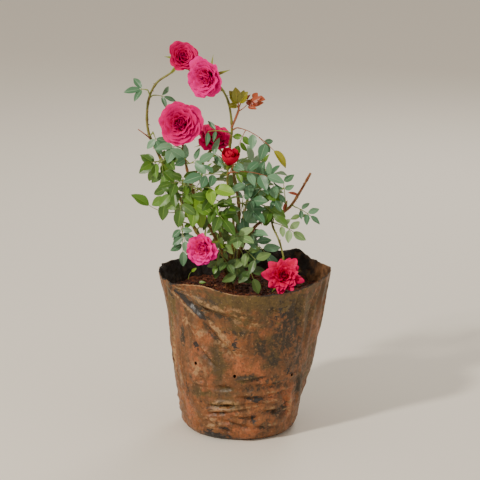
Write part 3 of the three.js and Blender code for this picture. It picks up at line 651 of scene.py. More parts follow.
def spot_mask(spots, bearing, z):
    """How strongly each place lies under any of the spots."""
    total = np.zeros(len(z))
    for spot_bearing, height, wide, high, strength in spots:
        x, y = wrapped(bearing - spot_bearing) * UNROLLED / wide, (z - height) / high
        total = np.maximum(total, strength * np.exp(-(x * x + y * y) * 0.8))
    return total


# %% marking the film
def mark_film(film):
    """Gives each point of the film its amounts of mud, dust, bare film, painted shade and painted highlight,
    and marks the inside.
    """
    flat = np.empty(len(film.data.vertices) * 3)
    film.data.vertices.foreach_get("co", flat)
    x, y, z = (flat.reshape(-1, 3) / MM).T
    bearing = np.arctan2(y, x) % (2 * math.pi)
    film.data.vertices.foreach_get("normal", flat)
    facing = flat[0::3] * np.cos(bearing) + flat[1::3] * np.sin(bearing)
    masks = {name: spot_mask(spots, bearing, z) for name, spots in SPOTS.items()}
    masks["inside"] = (1 - smooth(-0.25, 0.05, facing)) * (z > 1.1)

    # The sunken strip beside the front fold is bare, its seam gets a painted highlight, and under the fold
    # lies a painted shadow
    across, below = fold_place(bearing, z)
    shown = smooth(4, 9, below) * (1 - smooth(24, 33, below))
    strip = shown * smooth(-FOLD_STRIP - 1.6, -FOLD_STRIP + 1.2, across) * (1 - smooth(-2.6, -0.2, across))
    painted_fold_shadow = smooth(-2, 3, below) * (1 - smooth(22, 36, below)) * bell((across - 1.0) / 1.7)
    seam = shown * bell((across + FOLD_STRIP + 2.6) / 1.5)

    # The rim is worn bare in places, and has a painted highlight where it turns over. Crease ridges get
    # painted highlights and crease hollows painted shade
    edge = smooth(-1.3, -0.2, z - ragged_rim(bearing))
    rim_highlight = bell(wrapped(bearing - RIM_HIGHLIGHT_BEARING) / RIM_HIGHLIGHT_WIDTH)
    worn_rim = edge * (0.5 + 1.6 * ring_cloud(bearing, 6, 2.0) - rim_highlight)
    folds = crease_height(bearing, z)
    hollows, ridges = 0.6 * smooth(0.5, 2.4, -folds), 0.62 * smooth(0.9, 3.2, folds)
    # The dark mask also takes the painted shadow under the fold and the painted shade in the crease hollows
    masks["dark"] = np.maximum.reduce([masks["dark"], 1.2 * painted_fold_shadow, hollows])
    masks["bare"] = np.maximum.reduce([masks["bare"], 1.6 * strip, worn_rim])
    dust_and_highlight = np.maximum.reduce([masks["dust_and_highlight"], 0.8 * seam, 1.3 * edge * rim_highlight, ridges])
    lining = 0.8 * bell(wrapped(bearing - LINING_BEARING) / LINING_WIDTH)
    masks["dust_and_highlight"] = mix(dust_and_highlight, lining, masks["inside"])
    for name, values in masks.items():
        layer = film.data.attributes.new(name, "FLOAT", "POINT")
        layer.data.foreach_set("value", np.clip(values, 0, 2).astype(np.float32))


# %% muddy film
BITE = 0.75  # how far cloudy noise eats into the edge of a mask


def eaten(film, name, noise_mask, low, high):
    """A carried mask with an edge that cloudy noise eats into."""
    bitten = {0: noise_mask, 1: BITE, 2: film.carried(name)}
    return soft_span(film.tree, put(film.tree, "Math", bitten, operation="MULTIPLY_ADD")[0], low, high)


def muddy_film():
    """Thin black film under smeared mud: brown, rusty, olive and dark patches, dry dust, and painted shade
    and highlights.
    """
    film = Finish("muddy film", "#64442c", 0.55, specular=0.42)
    broad = film.effect(PATCHES, Size=34.0, Low=0.4, High=0.62)
    blots = film.effect(PATCHES, Size=85.0, Shift=(3.1, 0.4, 1.7), Low=0.34, High=0.66)
    small = film.effect(PATCHES, Size=230.0, Shift=(0.3, 5.2, 2.6), Low=0.36, High=0.64)
    smears = film.effect(
        PATCHES, Size=110.0, Stretch=(1, 1, 0.4), Shift=(8.0, 1.0, 0.5), Low=0.42, High=0.62)
    fine = film.effect(PATCHES, Size=560.0, Shift=(2.0, 7.0, 1.0), Low=0.42, High=0.6)
    wide = film.effect(PATCHES, Size=20.0, Shift=(5.0, 3.0, 9.0), Low=0.42, High=0.6)
    flecks = film.effect(PATCHES, Size=430.0, Shift=(1.0, 9.0, 4.0), Low=0.58, High=0.7)
    pits = film.effect(PATCHES, Size=380.0, Shift=(6.0, 2.0, 8.0), Low=0.55, High=0.66)
    coats = (  # where each coat of mud lies, how thickly it covers, and its colour, from the lowest up
        (small, 0.75, "#57351a"),
        (eaten(film, "rusty", small, 0.5, 1.3), 1.0, "#aa5e36"),
        (film.times(blots, small), 0.65, "#b87c50"),
        (eaten(film, "olive", blots, 0.5, 1.1), 1.0, "#604c22"),
        (film.times(wide, blots), 0.7, "#42301a"),
        (smears, 0.55, "#46331a"),
        # Dark patches, and painted shade in the crease hollows and under the fold
        (eaten(film, "dark", small, 0.5, 1.1), 1.0, "#2c2418"),
        # Dust, and painted highlights on the crease ridges, the seam and the rim's turned edge
        (eaten(film, "dust_and_highlight", small, 0.6, 1.3), 0.8, "#b48c60"),
        (flecks, 0.5, "#b89064"),
        (pits, 0.5, "#2a1c10"),
        (fine, 0.22, "#3a2814"),
    )
    colour = film.blend(broad, "#784824", "#96582c")
    for mask, most, mud in coats:
        colour = film.blend(film.scale(mask, 0.0, most), colour, mud)
    bare = eaten(film, "bare", small, 0.65, 0.95)
    colour = film.blend(bare, colour, "#2a2422")
    lining = film.blend(eaten(film, "dust_and_highlight", blots, 0.5, 1.3), "#1e120c", "#7a5638")
    colour = film.blend(film.carried("inside"), colour, lining)
    grain = film.effect(GRAIN, Size=900.0, Pits=0.5)
    clots = film.effect(GRAIN, Size=260.0, Shift=(4.0, 0.0, 2.0), Pits=0.9)
    caked = film.scale(bare, 1.0, 0.15)
    normal = film.bump(film.times(clots, caked), 0.00034, film.bump(film.times(grain, caked), 0.00008))
    gloss = film.times(film.scale(small, 0.38, 0.58), film.scale(bare, 1.0, 0.9))
    return film.wear(colour, gloss, normal)


def make_bag():
    heap = Heap()
    heap.add(*skin(bag_rings()))
    film = punch(heap.build("film_bag", [muddy_film()]))
    film.data.polygons.foreach_set("use_smooth", np.ones(len(film.data.polygons), bool))
    film.data.set_sharp_from_angle(angle=math.radians(70))
    mark_film(film)
    return dress(film, "film", "bag")


make_bag()

# %% [markdown]
# ## The soil
#
# Potting mix of coir and bark is dark red-brown, crumbly and full of short fibres. A rough skin follows the
# solid's gentle mounds, and crumbs and fibres by the hundred lie on it. They are irregular small blobs and
# bent strands in one mesh, since a bump alone would leave the surface flat where it meets the light.

# %% the soil's surface
TRUNK_FOOT = np.array([-13.0, -5.0, 142.35])
FLAT_RADIUS = 11
SOIL_ROUGHNESS = 2.1
SOIL_RINGS = 58
SOIL_GAP = 0.8  # between the soil and the film
LOWER_ROWS = ((138, 6), (110, 6), (80, 6), (40, 6), (12, 6), (3, 8))  # heights, and how far inside the film
LUMP_SIZES, LUMP_HEIGHT = (14, 6, 2.6), 0.16  # widths, and height as a share of them
CRUMBS, CRUMB_SIZES, DRY_CRUMBS = 2600, (0.5, 2.1), 0.05  # how many, how large, and the share that is dry
FIBRES, FIBRE_LENGTHS, FIBRE_RADII, DRY_FIBRES = 420, (3, 9), (0.12, 0.3), 0.3


def soil_top(x, y):
    """Height of the soil's surface in the middle of the bag, crumbly except at the trunk."""
    from_trunk = np.hypot(x - TRUNK_FOOT[0], y - TRUNK_FOOT[1])
    away = smooth(FLAT_RADIUS, 2.4 * FLAT_RADIUS, from_trunk)
    rough = np.sin(0.11 * x + 1.3) * np.cos(0.09 * y) + 0.5 * np.sin(0.27 * x - 0.2 * y)
    return SOIL_HEIGHT + away * SOIL_ROUGHNESS * (rough - 0.6)


def soil_noise(x, y):
    return sum(cloud(x / size, y / size, size) * size * LUMP_HEIGHT for size in LUMP_SIZES)


def make_soil():
    """A lumpy top that runs from the trunk out to the film, and plain rings below it inside the bag."""
    bearings = BEARINGS[::2]
    outline = film_point(bearings, SOIL_HEIGHT, FILM + SOIL_GAP)
    rings = []
    for share in np.linspace(0.02, 1, SOIL_RINGS):
        ring = outline * share
        ring[:, :2] += (1 - share) * TRUNK_FOOT[:2]
        lumps = np.array([soil_noise(x, y) for x, y in ring[:, :2]])
        ring[:, 2] = soil_top(ring[:, 0], ring[:, 1]) + lumps
        rings.append(ring)
    for row, inward in LOWER_ROWS:
        rings.append(film_point(bearings, row, inward, folded=False))
    heap = Heap()
    heap.add(*skin(rings[::-1]))
    draw = seeded(501)
    for add_one, count in ((add_crumb, CRUMBS), (add_fibre, FIBRES)):
        for _ in range(count):
            add_one(heap, draw)
    return dress(heap.build("potting_mix", [damp_soil(), dry_fibre()]), "soil", "soil")


# %% crumbs and fibres
def soil_spot(draw):
    """A random place on the soil, clear of the film."""
    bearing, share = 2 * math.pi * draw(), math.sqrt(draw()) * 0.96
    radius = share * (float(bag_radius(bearing, SOIL_HEIGHT)) - 3)
    x, y = radius * math.cos(bearing), radius * math.sin(bearing)
    return np.array([x, y, float(soil_top(x, y)) + soil_noise(x, y)])


def add_crumb(heap, draw):
    """One crumb: a squashed, uneven blob."""
    spot = soil_spot(draw)
    size = mix(*CRUMB_SIZES, draw() ** 2.2)
    angles = np.arange(6) * math.pi / 3 + draw() * 6
    rings = []
    for lift, girth in ((-0.3, 0.7), (0.35, 1.0), (0.8, 0.6)):
        wobble = np.array([mix(0.7, 1.25, draw()) for _ in angles])
        rings.append(spot + size * ring_at(angles, girth * wobble, lift))
    heap.add(*skin(rings), slot=int(draw() < DRY_CRUMBS))


def add_fibre(heap, draw):
    """One strand of coir, lying on the soil."""
    spot = soil_spot(draw) + UP * 0.5
    heading, long = 2 * math.pi * draw(), mix(*FIBRE_LENGTHS, draw())
    way = np.array([math.cos(heading), math.sin(heading), mix(-0.05, 0.15, draw())])
    side = np.cross(UP, way) * mix(-0.3, 0.3, draw())
    points = [spot + way * long * s + side * long * s * (1 - s) + UP * 0.5 * math.sin(math.pi * s)
              for s in np.linspace(0, 1, 5)]
    radii = mix(*FIBRE_RADII, draw()) * np.array([1, 1, 1, 0.8, 0.4])
    heap.add(*tube(points, radii, 4), slot=int(draw() < DRY_FIBRES))


# %% damp soil and dry fibre
def damp_soil():
    soil = Finish("damp potting mix", "#3a231a", 0.85, specular=0.3)
    clods = soil.effect(PATCHES, Size=160.0, Low=0.4, High=0.62)
    warm = soil.effect(PATCHES, Size=420.0, Shift=(2.0, 3.0, 1.0), Low=0.5, High=0.66)
    colour = soil.blend(clods, "#2c120a", "#582c1a")
    colour = soil.blend(warm, colour, "#7e4026")
    grain = soil.effect(GRAIN, Size=1100.0, Pits=0.8)
    return soil.wear(colour, None, soil.bump(grain, 0.0004))


def dry_fibre():
    fibre = Finish("dry coir", "#6f4628", 0.8, specular=0.3)
    tone = fibre.effect(PATCHES, Size=300.0, Low=0.4, High=0.6)
    return fibre.wear(fibre.blend(tone, "#553019", "#8a5e38"))


make_soil()

# %% [markdown]
# ## Trunk and canes
#
# The trunk is a short stump with furrowed bark and a flared foot. From it rise thin canes, green where they
# are young and brown where they are old, with small swellings where leaves grow or grew and hooked prickles.
# Each is a tube along the same joints as its solid. The swellings and furrows are in the mesh, and a value
# carried at each point says how woody it is.

# %% the limbs, as in the solids
TRUNK_TOP_HEIGHT = 171
CANES = {  # parent and share of its length, joints, foot and tip radii, and how woody at foot and tip
    "cane_left": ("trunk", 0.62, [
        (-28, -6, 179), (-46, -3, 202), (-64, 3, 238), (-82, 8, 275), (-93, 10, 300), (-93, 11, 328),
        (-85, 12, 347), (-70, 12, 358),
    ], (2.2, 1.1), (0.55, 0.1)),
    "cane_mid": ("trunk", 0.82, [
        (-22, -9, 186), (-36, -12, 217), (-49, -12, 245), (-55, -9, 269), (-58, -4, 286), (-60, 1, 300),
    ], (2.0, 1.1), (0.8, 0.75)),
    "cane_dark": ("cane_mid", 0.58, [(-44, 2, 262), (-37, 10, 273), (-31, 17, 281)], (1.2, 1.0), (0.3, 0.1)),
    "cane_centre": ("trunk", 0.9, [
        (-7, 4, 193), (-3, 8, 223), (-8, 8, 256), (-12, 5, 282), (-10, 1, 303), (-12, -3, 325),
        (-16, -5, 338), (-23, -7, 349),
    ], (2.1, 1.1), (0.6, 0)),
    "cane_front": ("trunk", 0.72, [
        (-9, -13, 189), (-9, -18, 221), (-14, -21, 249), (-14, -21, 268),
    ], (1.7, 1.1), (0.5, 0.1)),
    "cane_right": ("trunk", 0.5, [
        (2, -3, 189), (14, 0, 206), (26, 2, 213), (38, 3, 218), (48, 3, 225), (58, 1, 241), (68, -2, 260),
    ], (2.0, 1.3), (0.7, 1.0)),
    "cane_right_high": ("cane_right", 0.2, [(4, 9, 202), (8, 14, 225), (20, 12, 243)], (1.5, 1), (0.3, 0.1)),
    "cane_low_left": ("trunk", 0.4, [(-23, -14, 176), (-32, -24, 186)], (1.4, 1.1), (0.3, 0.1)),
    "cane_low_right": ("cane_right", 0.46, [
        (31, -8, 206), (37, -18, 194), (41, -25, 180)], (1.1, 1), (0.2, 0)),
    "cane_back_left": ("trunk", 0.7, [
        (-20, 14, 187), (-28, 28, 211), (-37, 38, 229)], (1.8, 1.1), (0.5, 0.1)),
    "cane_back_right": ("trunk", 0.56, [
        (-6, 16, 183), (2, 32, 211), (8, 42, 236)], (1.8, 1.1), (0.5, 0.1)),
}


def grow_limbs():
    top = TRUNK_FOOT + np.array([-1, 1, TRUNK_TOP_HEIGHT - TRUNK_FOOT[2]])
    middle = mix(TRUNK_FOOT, top, 0.45) + np.array([0.6, -0.4, 0])
    limbs = {"trunk": Line([TRUNK_FOOT, middle, top])}
    for name, (parent, share, joints, _, _) in CANES.items():
        limbs[name] = Line([limbs[parent].at(share), *joints])
    return limbs


LIMBS = grow_limbs()
print("limbs:", len(LIMBS))


# %% bark
def cane_bark():
    """Green skin that turns to red-brown bark where the cane is woody."""
    bark = Finish("cane bark", "#5c6b2c", 0.5, specular=0.4)
    green = bark.effect(PATCHES, Size=130.0, Stretch=(1, 1, 0.3), Low=0.4, High=0.6)
    streaks = bark.effect(PATCHES, Size=900.0, Stretch=(1, 1, 0.12), Shift=(3, 1, 0), Low=0.42, High=0.6)
    stains = bark.effect(PATCHES, Size=210.0, Stretch=(1, 1, 0.5), Shift=(0, 4, 1), Low=0.46, High=0.6)
    young = bark.blend(green, "#5b6a22", "#7d8436")
    old = bark.blend(streaks, "#6a3f22", "#8f6440")
    woody = bark.carried("woody")
    colour = bark.blend(woody, young, old)
    colour = bark.blend(bark.times(stains, bark.scale(woody, 0.25, 0.6)), colour, "#7c3a22")
    grain = bark.effect(GRAIN, Size=900.0, Stretch=(1, 1, 0.25), Pits=0.3)
    return bark.wear(colour, bark.scale(woody, 0.42, 0.75), bark.bump(grain, 0.00025))


def old_bark():
    """The trunk's furrowed red-brown bark, with grey ridges."""
    bark = Finish("old bark", "#6d4a32", 0.8, specular=0.3)
    furrows = bark.effect(PATCHES, Size=420.0, Stretch=(1, 1, 0.18), Low=0.4, High=0.58)
    lichen = bark.effect(PATCHES, Size=160.0, Shift=(5.0, 2.0, 2.0), Low=0.52, High=0.66)
    colour = bark.blend(furrows, "#4a2716", "#8a5230")
    colour = bark.blend(bark.scale(lichen, 0.0, 0.6), colour, "#9a7a58")
    grain = bark.effect(GRAIN, Size=700.0, Stretch=(1, 1, 0.25), Pits=0.7)
    return bark.wear(colour, None, bark.bump(grain, 0.0006))


# %% canes and their prickles
CANE_SIDES = 12
CANE_SLIMMING = 0.92  # share of the solid's radius, to which the swellings add
FIRST_NODE = (8, 14)  # its distance from the cane's foot
NODE_SPACING, NODE_SWELL, NODE_WIDTH = 21, 0.26, 1.3
COLLAR, COLLAR_LENGTH = 0.35, 4.0  # how much thicker a cane is where it leaves its parent
RIBS, RIB_DEPTH, LUMP_DEPTH = 5, 0.045, 0.07  # depths as shares of the radius
PRICKLE_RADII, PRICKLE_SIZES = (0.62, 0.32, 0.05), (1.3, 2.5)
STUB = "cane_right"  # ends bare, with a slight rim where it was cut


def cane_radii(points, length, radii, draw):
    """Radii along a cane: tapering, swollen at its nodes and at the collar."""
    marks = np.linspace(0, length, len(points))
    radius = mix(radii[0], radii[1], marks / length)
    node = mix(*FIRST_NODE, draw())
    while node < length - 4:
        off = marks - node
        radius = radius * (1 + NODE_SWELL * bell(off / NODE_WIDTH) + 0.1 * bell((off - 2.5) / 2.5))
        node += NODE_SPACING * mix(0.7, 1.2, draw())
    return radius * (1 + COLLAR * bell(marks / COLLAR_LENGTH))


def add_cane(heap, name, draw):
    _, _, _, radii, woody = CANES[name]
    points, length = LIMBS[name].even(1.3)
    radius = CANE_SLIMMING * cane_radii(points, length, radii, draw)
    turn = 6 * draw()

    def relief(k, angles):
        ribs = RIB_DEPTH * np.sin(RIBS * angles + turn + 0.02 * k)
        return 1 + ribs + LUMP_DEPTH * ring_cloud(angles, 3, 0.5 * k + turn)

    wood = mix(woody[0], woody[1], np.linspace(0, 1, len(points)))
    if name == STUB:
        radius[-2:] *= (1.12, 0.9)
    values = np.concatenate([np.repeat(wood, CANE_SIDES), wood[[0, -1]]])
    heap.add(*tube(points, radius, CANE_SIDES, relief), value=values)
    add_prickles(heap, points, radius, wood, draw)


def add_prickles(heap, points, radius, wood, draw):
    """Small hooked prickles, scattered round a cane, that point outward and down."""
    k = 7
    while k < len(points) - 5:
        way = unit(points[k + 1] - points[k - 1])
        out = turned(square_to(np.array([0.4, 0.9, 0.1]), way), way, 360 * draw())
        size = mix(*PRICKLE_SIZES, draw())
        foot = points[k] + out * radius[k] * 0.75
        bend = [foot, foot + out * size * 0.6 - way * size * 0.1, foot + out * size - way * size * 0.55]
        heap.add(*tube(bend, PRICKLE_RADII, 5), value=min(1.0, wood[k] + 0.5))
        k += 4 + int(8 * draw())


def make_canes():
    heap, draw = Heap(), seeded(77)
    for name in CANES:
        add_cane(heap, name, draw)
    piece = heap.build("canes", [cane_bark()], value_name="woody", crease=50)
    return dress(piece, "cane", *CANES)


# %% the stump
TRUNK_FOOT_RADIUS, TRUNK_WAIST_RADIUS, TRUNK_TOP_RADIUS = 5.6, 3.7, 3.2
ROOT_FLARE = 0.12
FURROW, FINE_FURROW = 0.16, 0.1
ROOT_DEPTHS, ROOT_RADII = (4.0, 2.6, 1.2), (6.8, 6.6, 6.2)  # below the soil
CUT_RISES, CUT_RADII = (0.6, 1.0), (2.4, 1.2)  # where the top is cut off


def make_trunk():
    """The stump: furrowed, flared at the soil, and cut off round at its top."""
    points, _ = LIMBS["trunk"].even(0.45)
    below = np.array([points[0] - UP * depth for depth in ROOT_DEPTHS])
    above = np.array([points[-1] + UP * rise for rise in CUT_RISES])
    share = np.linspace(0, 1, len(points))
    lower = mix(TRUNK_FOOT_RADIUS, TRUNK_WAIST_RADIUS, share * 2)
    upper = mix(TRUNK_WAIST_RADIUS, TRUNK_TOP_RADIUS, share * 2 - 1)
    radius = np.where(share < 0.5, lower, upper) * (1 + ROOT_FLARE * np.exp(-share * 12))
    radius = np.concatenate([ROOT_RADII, radius, CUT_RADII])

    def relief(k, angles):
        furrows = FURROW * ring_cloud(angles, 2.2, 0.035 * k)
        return 1 + furrows + FINE_FURROW * ring_cloud(angles, 6, 0.09 * k + 5)

    heap = Heap()
    heap.add(*tube(np.concatenate([below, points, above]), radius, 36, relief))
    return dress(heap.build("old_stump", [old_bark()]), "bark", "trunk")


make_trunk()
make_canes()

# %% [markdown]
# ## The leaves' rule of growth
#
# A rose leaf is a thin stalk with leaflets in pairs and one at its end. The solids were grown by a seeded
# rule, so the same rule with the same seeds finds every stalk and leaflet again. A leaflet that the solid
# lacks touched a neighbour there, so it stays left out. Each mass has the tint that its leaves show: most
# are blue-green, some deep, mossy or yellow-green, and the new shoot is olive and bronze.

# %% the masses, as in the solids, with the tint of their leaves
MASSES = {  # cane and share, twig's tip, seed, size, tint, and sprays of clock, turn, reach and droop
    "leaves_top_left": ("cane_left", 0.79, (-93, 6, 342), 11, 0.95, "blue", [(160, -10, 25)]),
    "leaves_top_inner": ("cane_left", 0.77, (-88, 17, 335), 12, 0.85, "blue", [(2, 10, 27)]),
    "leaves_left_high": ("cane_left", 0.6, (-88, 0, 301), 13, 0.85, "blue", [(296, -25, 24)]),
    "leaves_left_mid": ("cane_left", 0.49, (-80, -8, 272), 14, 1, "deep",
                        [(186, -15, 26), (282, -35, 32), (42, -20, 30)]),
    "leaves_left_hang": ("cane_left", 0.4, (-73, -10, 256), 15, 1.05, "deep", [(256, -22, 40)]),
    "leaves_left_out": ("cane_left", 0.32, (-62, -7, 222), 16, 1.1, "deep", [(190, -10, 52, -0.45)]),
    "leaves_left_low": ("cane_left", 0.27, (-63, -9, 212), 17, 0.85, "blue",
                        [(268, -12, 40), (292, -35, 34)]),
    "leaves_left_inner": ("cane_left", 0.24, (-42, -18, 209), 18, 0.95, "deep", [(12, -30, 36)]),
    "leaves_bud_right": ("cane_front", 0.93, (-8, -26, 266), 19, 1.1, "blue", [(2, -10, 54)]),
    "leaves_bud_left": ("cane_front", 0.9, (-20, -27, 263), 20, 1, "blue", [(170, -20, 40)]),
    "leaves_mid_front": ("cane_mid", 0.52, (-44, -25, 249), 21, 1.2, "yellow",
                         [(288, -20, 40), (18, -25, 42)]),
    "leaves_mid_left": ("cane_mid", 0.56, (-57, -22, 252), 22, 1, "deep",
                        [(205, -25, 36), (150, -25, 34), (262, -30, 40)]),
    "leaves_mid": ("cane_mid", 0.4, (-33, -25, 232), 23, 1.1, "deep", [(52, -30, 38), (340, -40, 42)]),
    "leaves_mid_high": ("cane_mid", 0.67, (-52, -19, 273), 24, 1, "blue", [(20, -25, 34), (120, -20, 28)]),
    "leaves_under_big": ("cane_mid", 0.8, (-64, -6, 287), 25, 1.1, "blue", [(160, -10, 22), (350, 20, 30)]),
    "leaves_dark_front": ("cane_dark", 0.54, (-33, -3, 272), 26, 1.1, "blue", [(58, -20, 34)]),
    "leaves_dark_bloom": ("cane_centre", 0.6, (-17, -14, 304), 27, 0.9, "blue", [(168, -20, 40)]),
    "new_shoot": ("cane_centre", 0.64, (-1, -2, 331), 28, 0.55, "young", [(112, -20, 19), (28, -5, 28)]),
    "leaves_right_high": ("cane_centre", 0.62, (-4, -5, 306), 29, 1.15, "blue", [(352, -10, 58, 0.45)]),
    "leaves_right_up": ("cane_right", 0.665, (43, -1, 232), 30, 0.85, "blue", [(95, -15, 50)]),
    "leaves_right_out": ("cane_right", 0.72, (52, -2, 226), 31, 0.75, "blue", [(342, -10, 32)]),
    "leaves_right_low": ("cane_right", 0.47, (31, -4, 210), 32, 0.8, "pale", [(346, -5, 36)]),
    "leaves_right_mid": ("cane_right_high", 0.72, (17, 2, 229), 33, 1.2, "deep",
                         [(346, -35, 44), (62, -5, 40)]),
    "leaves_right_top": ("cane_right_high", 0.96, (16, 5, 248), 34, 1, "blue",
                         [(14, -30, 42), (166, -25, 34), (80, 5, 25)]),
    "leaves_centre": ("cane_centre", 0.27, (1, -5, 229), 35, 1, "blue",
                      [(350, -45, 36), (40, -30, 34), (275, -40, 34)]),
    "leaves_centre_left": ("cane_front", 0.6, (-21, -27, 234), 36, 1, "deep",
                           [(230, -20, 38), (140, -20, 38), (60, -50, 34)]),
    "leaves_low_right": ("cane_right", 0.18, (6, -17, 200), 37, 1.2, "blue",
                         [(322, -15, 46), (44, -35, 32)]),
    "leaves_low_centre": ("cane_front", 0.3, (-13, -27, 203), 38, 1, "pale",
                          [(20, -40, 34), (112, -25, 34), (180, -30, 34)]),
    "leaves_low_front": ("cane_front", 0.22, (-3, -24, 192), 39, 1, "mossy",
                         [(266, -18, 50), (300, -14, 50), (330, -25, 46)]),
    "leaves_low_left": ("cane_low_left", 0.6, (-20, -26, 189), 40, 0.8, "mossy",
                        [(262, -10, 28), (60, -30, 28)]),
    "leaves_back_left": ("cane_back_left", 1, (-43, 42, 236), 41, 1, "deep",
                         [(150, 30, 46), (95, 35, 46), (215, 35, 46), (30, 40, 44)]),
    "leaves_back_right": ("cane_back_right", 1, (11, 47, 244), 42, 1, "blue",
                          [(30, 35, 48), (95, 25, 44), (330, 35, 48), (165, 40, 44)]),
    "leaves_back_low": ("cane_back_right", 0.4, (-8, 34, 196), 43, 1, "deep",
                        [(175, 45, 44), (250, 60, 40), (355, 45, 44)]),
    "leaves_back_top": ("cane_centre", 0.44, (-9, 22, 254), 44, 1, "deep", [(135, 30, 40), (352, 35, 44)]),
}
DROOP = 0.22  # how far a stalk sags by its end, as a share of its length
PAIRS = ((0.42, 0.76), (0.78, 0.9))  # share of the stalk and size of each pair
SHORT_STALK = 19  # a shorter one carries a single pair
LEAF_LONG = 19  # a leaflet's length at size 1
LEAF_WIDE = 0.62  # its width, as a share of its length
LEAF_ANGLE = 62  # degrees between it and the stalk, for the pairs
END_SINK = 1.2  # how far the end leaflet starts before the stalk's end
FOLD = 0.2  # how steeply its halves rise from the midrib
CURL = 0.12  # how far its tip bends down, as a share of its length
FIRST_SPRAY, LAST_SPRAY = 0.7, 0.96  # shares of the twig at which the sprays leave it
ON_SOLID = 0.4  # a point nearer than this counts as on the solid


# %% growing the sprays
def aim_of(clock, turn):
    c, t = math.radians(clock), math.radians(turn)
    return np.array([math.cos(c) * math.cos(t), math.sin(t), math.sin(c) * math.cos(t)])


def grow_spray(foot, spray, size, draw):
    """One compound leaf: its stalk as a function of the share along it, and its leaflets."""
    clock, turn, reach = spray[:3]
    droop = spray[3] if len(spray) > 3 else DROOP
    clock += mix(-5, 5, draw())
    aim = aim_of(clock, turn + mix(-5, 5, draw()))
    light = np.array([mix(-0.35, 0.35, draw()), 0.6 if turn > 20 else -0.75, 0.65])
    length = max(0.3 * reach, reach - LEAF_LONG * size)

    def stalk_at(s):
        return foot + aim * length * s - UP * droop * length * s * s

    def grow(s, side, share):
        along = unit(aim - UP * 2 * droop * s)
        normal = square_to(light, along)
        way = turned(along, normal, side * (LEAF_ANGLE + mix(-9, 9, draw())))
        across = np.cross(normal, way)
        normal = normal + across * mix(-0.35, 0.35, draw())
        normal = normal + way * mix(-0.1, 0.3, draw())
        long = LEAF_LONG * size * share * mix(0.9, 1.08, draw())
        root = stalk_at(s) - way * (END_SINK if side == 0 else 0)
        return {"share": s, "root": root, "way": way, "normal": square_to(normal, way), "long": long}

    leaflets = []
    for i, (s, share) in enumerate(PAIRS):
        if i == 0 and length < SHORT_STALK * size:
            continue
        leaflets += [grow(s, 1, share), grow(s, -1, share)]
    leaflets.append(grow(1, 0, 1))
    return {"at": stalk_at, "leaflets": leaflets, "length": length}


def grow_mass(name):
    """The twig of a mass and its sprays."""
    parent, share, tip, seed, size, _, sprays = MASSES[name]
    foot, tip = LIMBS[parent].at(share), np.array(tip, float)
    draw = seeded(seed)
    bow = np.array([mix(-1, 1, draw()), mix(-1, 1, draw()), mix(0, 1.5, draw())])
    twig = Line([foot, mix(foot, tip, 0.5) + bow, tip])
    last = len(sprays) - 1
    shares = [mix(FIRST_SPRAY, LAST_SPRAY, i / last) for i in range(last + 1)] if last else [LAST_SPRAY]
    return twig, [grow_spray(twig.at(at), spray, size, draw) for at, spray in zip(shares, sprays)]


def solid_tree(name):
    """A search tree over a solid's faces, to measure how near a point is."""
    mesh = nodes[name].data
    return BVHTree.FromPolygons([v.co for v in mesh.vertices], [tuple(p.vertices) for p in mesh.polygons])


def has_leaflet(tree, leaflet):
    """Whether the solid kept this leaflet: its tip lies on the solid."""
    tip = leaflet["root"] + leaflet["way"] * leaflet["long"] - leaflet["normal"] * CURL * leaflet["long"]
    return tree.find_nearest(Vector(tip * MM))[3] < ON_SOLID * MM


GROWN = {}
for mass_name in MASSES:
    mass_twig, mass_sprays = grow_mass(mass_name)
    mass_tree = solid_tree(mass_name)
    for mass_spray in mass_sprays:
        mass_spray["leaflets"] = [leaf for leaf in mass_spray["leaflets"] if has_leaflet(mass_tree, leaf)]
    GROWN[mass_name] = (mass_twig, mass_sprays)
print("leaflets kept:", sum(len(s["leaflets"]) for _, sprays in GROWN.values() for s in sprays))

# %% smaller sprays between them
# The plant carries finer growth than its solids. More small sprays leave each twig by the same rule. They
# stay in their own mass's box, clear of blooms, canes, bag and other leaves. The new shoot has none, and nor
# have the two masses between which the dark bloom shows.
FINER_SPRAYS = 6  # tries for each spray of the mass, and for two more
FRONT_TURNS, BACK_TURNS = (-50, 30), (10, 55)
FINER_SIZES, FINER_REACHES = (0.6, 0.96), (16, 34)
LEAF_GAP = 7.6  # least distance between the middles of two leaflets
BOX_ROOM = 1.5  # how far beyond its mass's solid a finer leaflet may reach
NOT_FINER = ("leaves_dark_bloom", "leaves_dark_front", "new_shoot")
LEAF_CLEARANCES = ((0.1, 0.8), (0.55, 2.5), (1, 1.5))  # share of a leaflet and the room that it needs there
STALK_CLEARANCE = 0.8
hard_trees = [solid_tree(name) for name in nodes if name not in MASSES and name != "soil"]
leaf_middles = []


def middle_of(leaflet):
    return leaflet["root"] + leaflet["way"] * leaflet["long"] * 0.5


def is_clear(point, gap):
    return all(tree.find_nearest(Vector(point * MM))[3] > gap * MM for tree in hard_trees)


def mass_box(name):
    corners = np.array([v.co for v in nodes[name].data.vertices]) / MM
    return corners.min(0) - BOX_ROOM, corners.max(0) + BOX_ROOM


def fits(leaflet, low, high):
    """Whether a finer leaflet has room: in its mass's box, and away from leaves and all that is hard."""
    places = [(leaflet["root"] + leaflet["way"] * leaflet["long"] * share, gap)
              for share, gap in LEAF_CLEARANCES]
    if any((place < low).any() or (place > high).any() for place, _ in places):
        return False
    middle = middle_of(leaflet)
    if any(np.linalg.norm(middle - other) < LEAF_GAP for other in leaf_middles):
        return False
    return all(is_clear(place, gap) for place, gap in places)


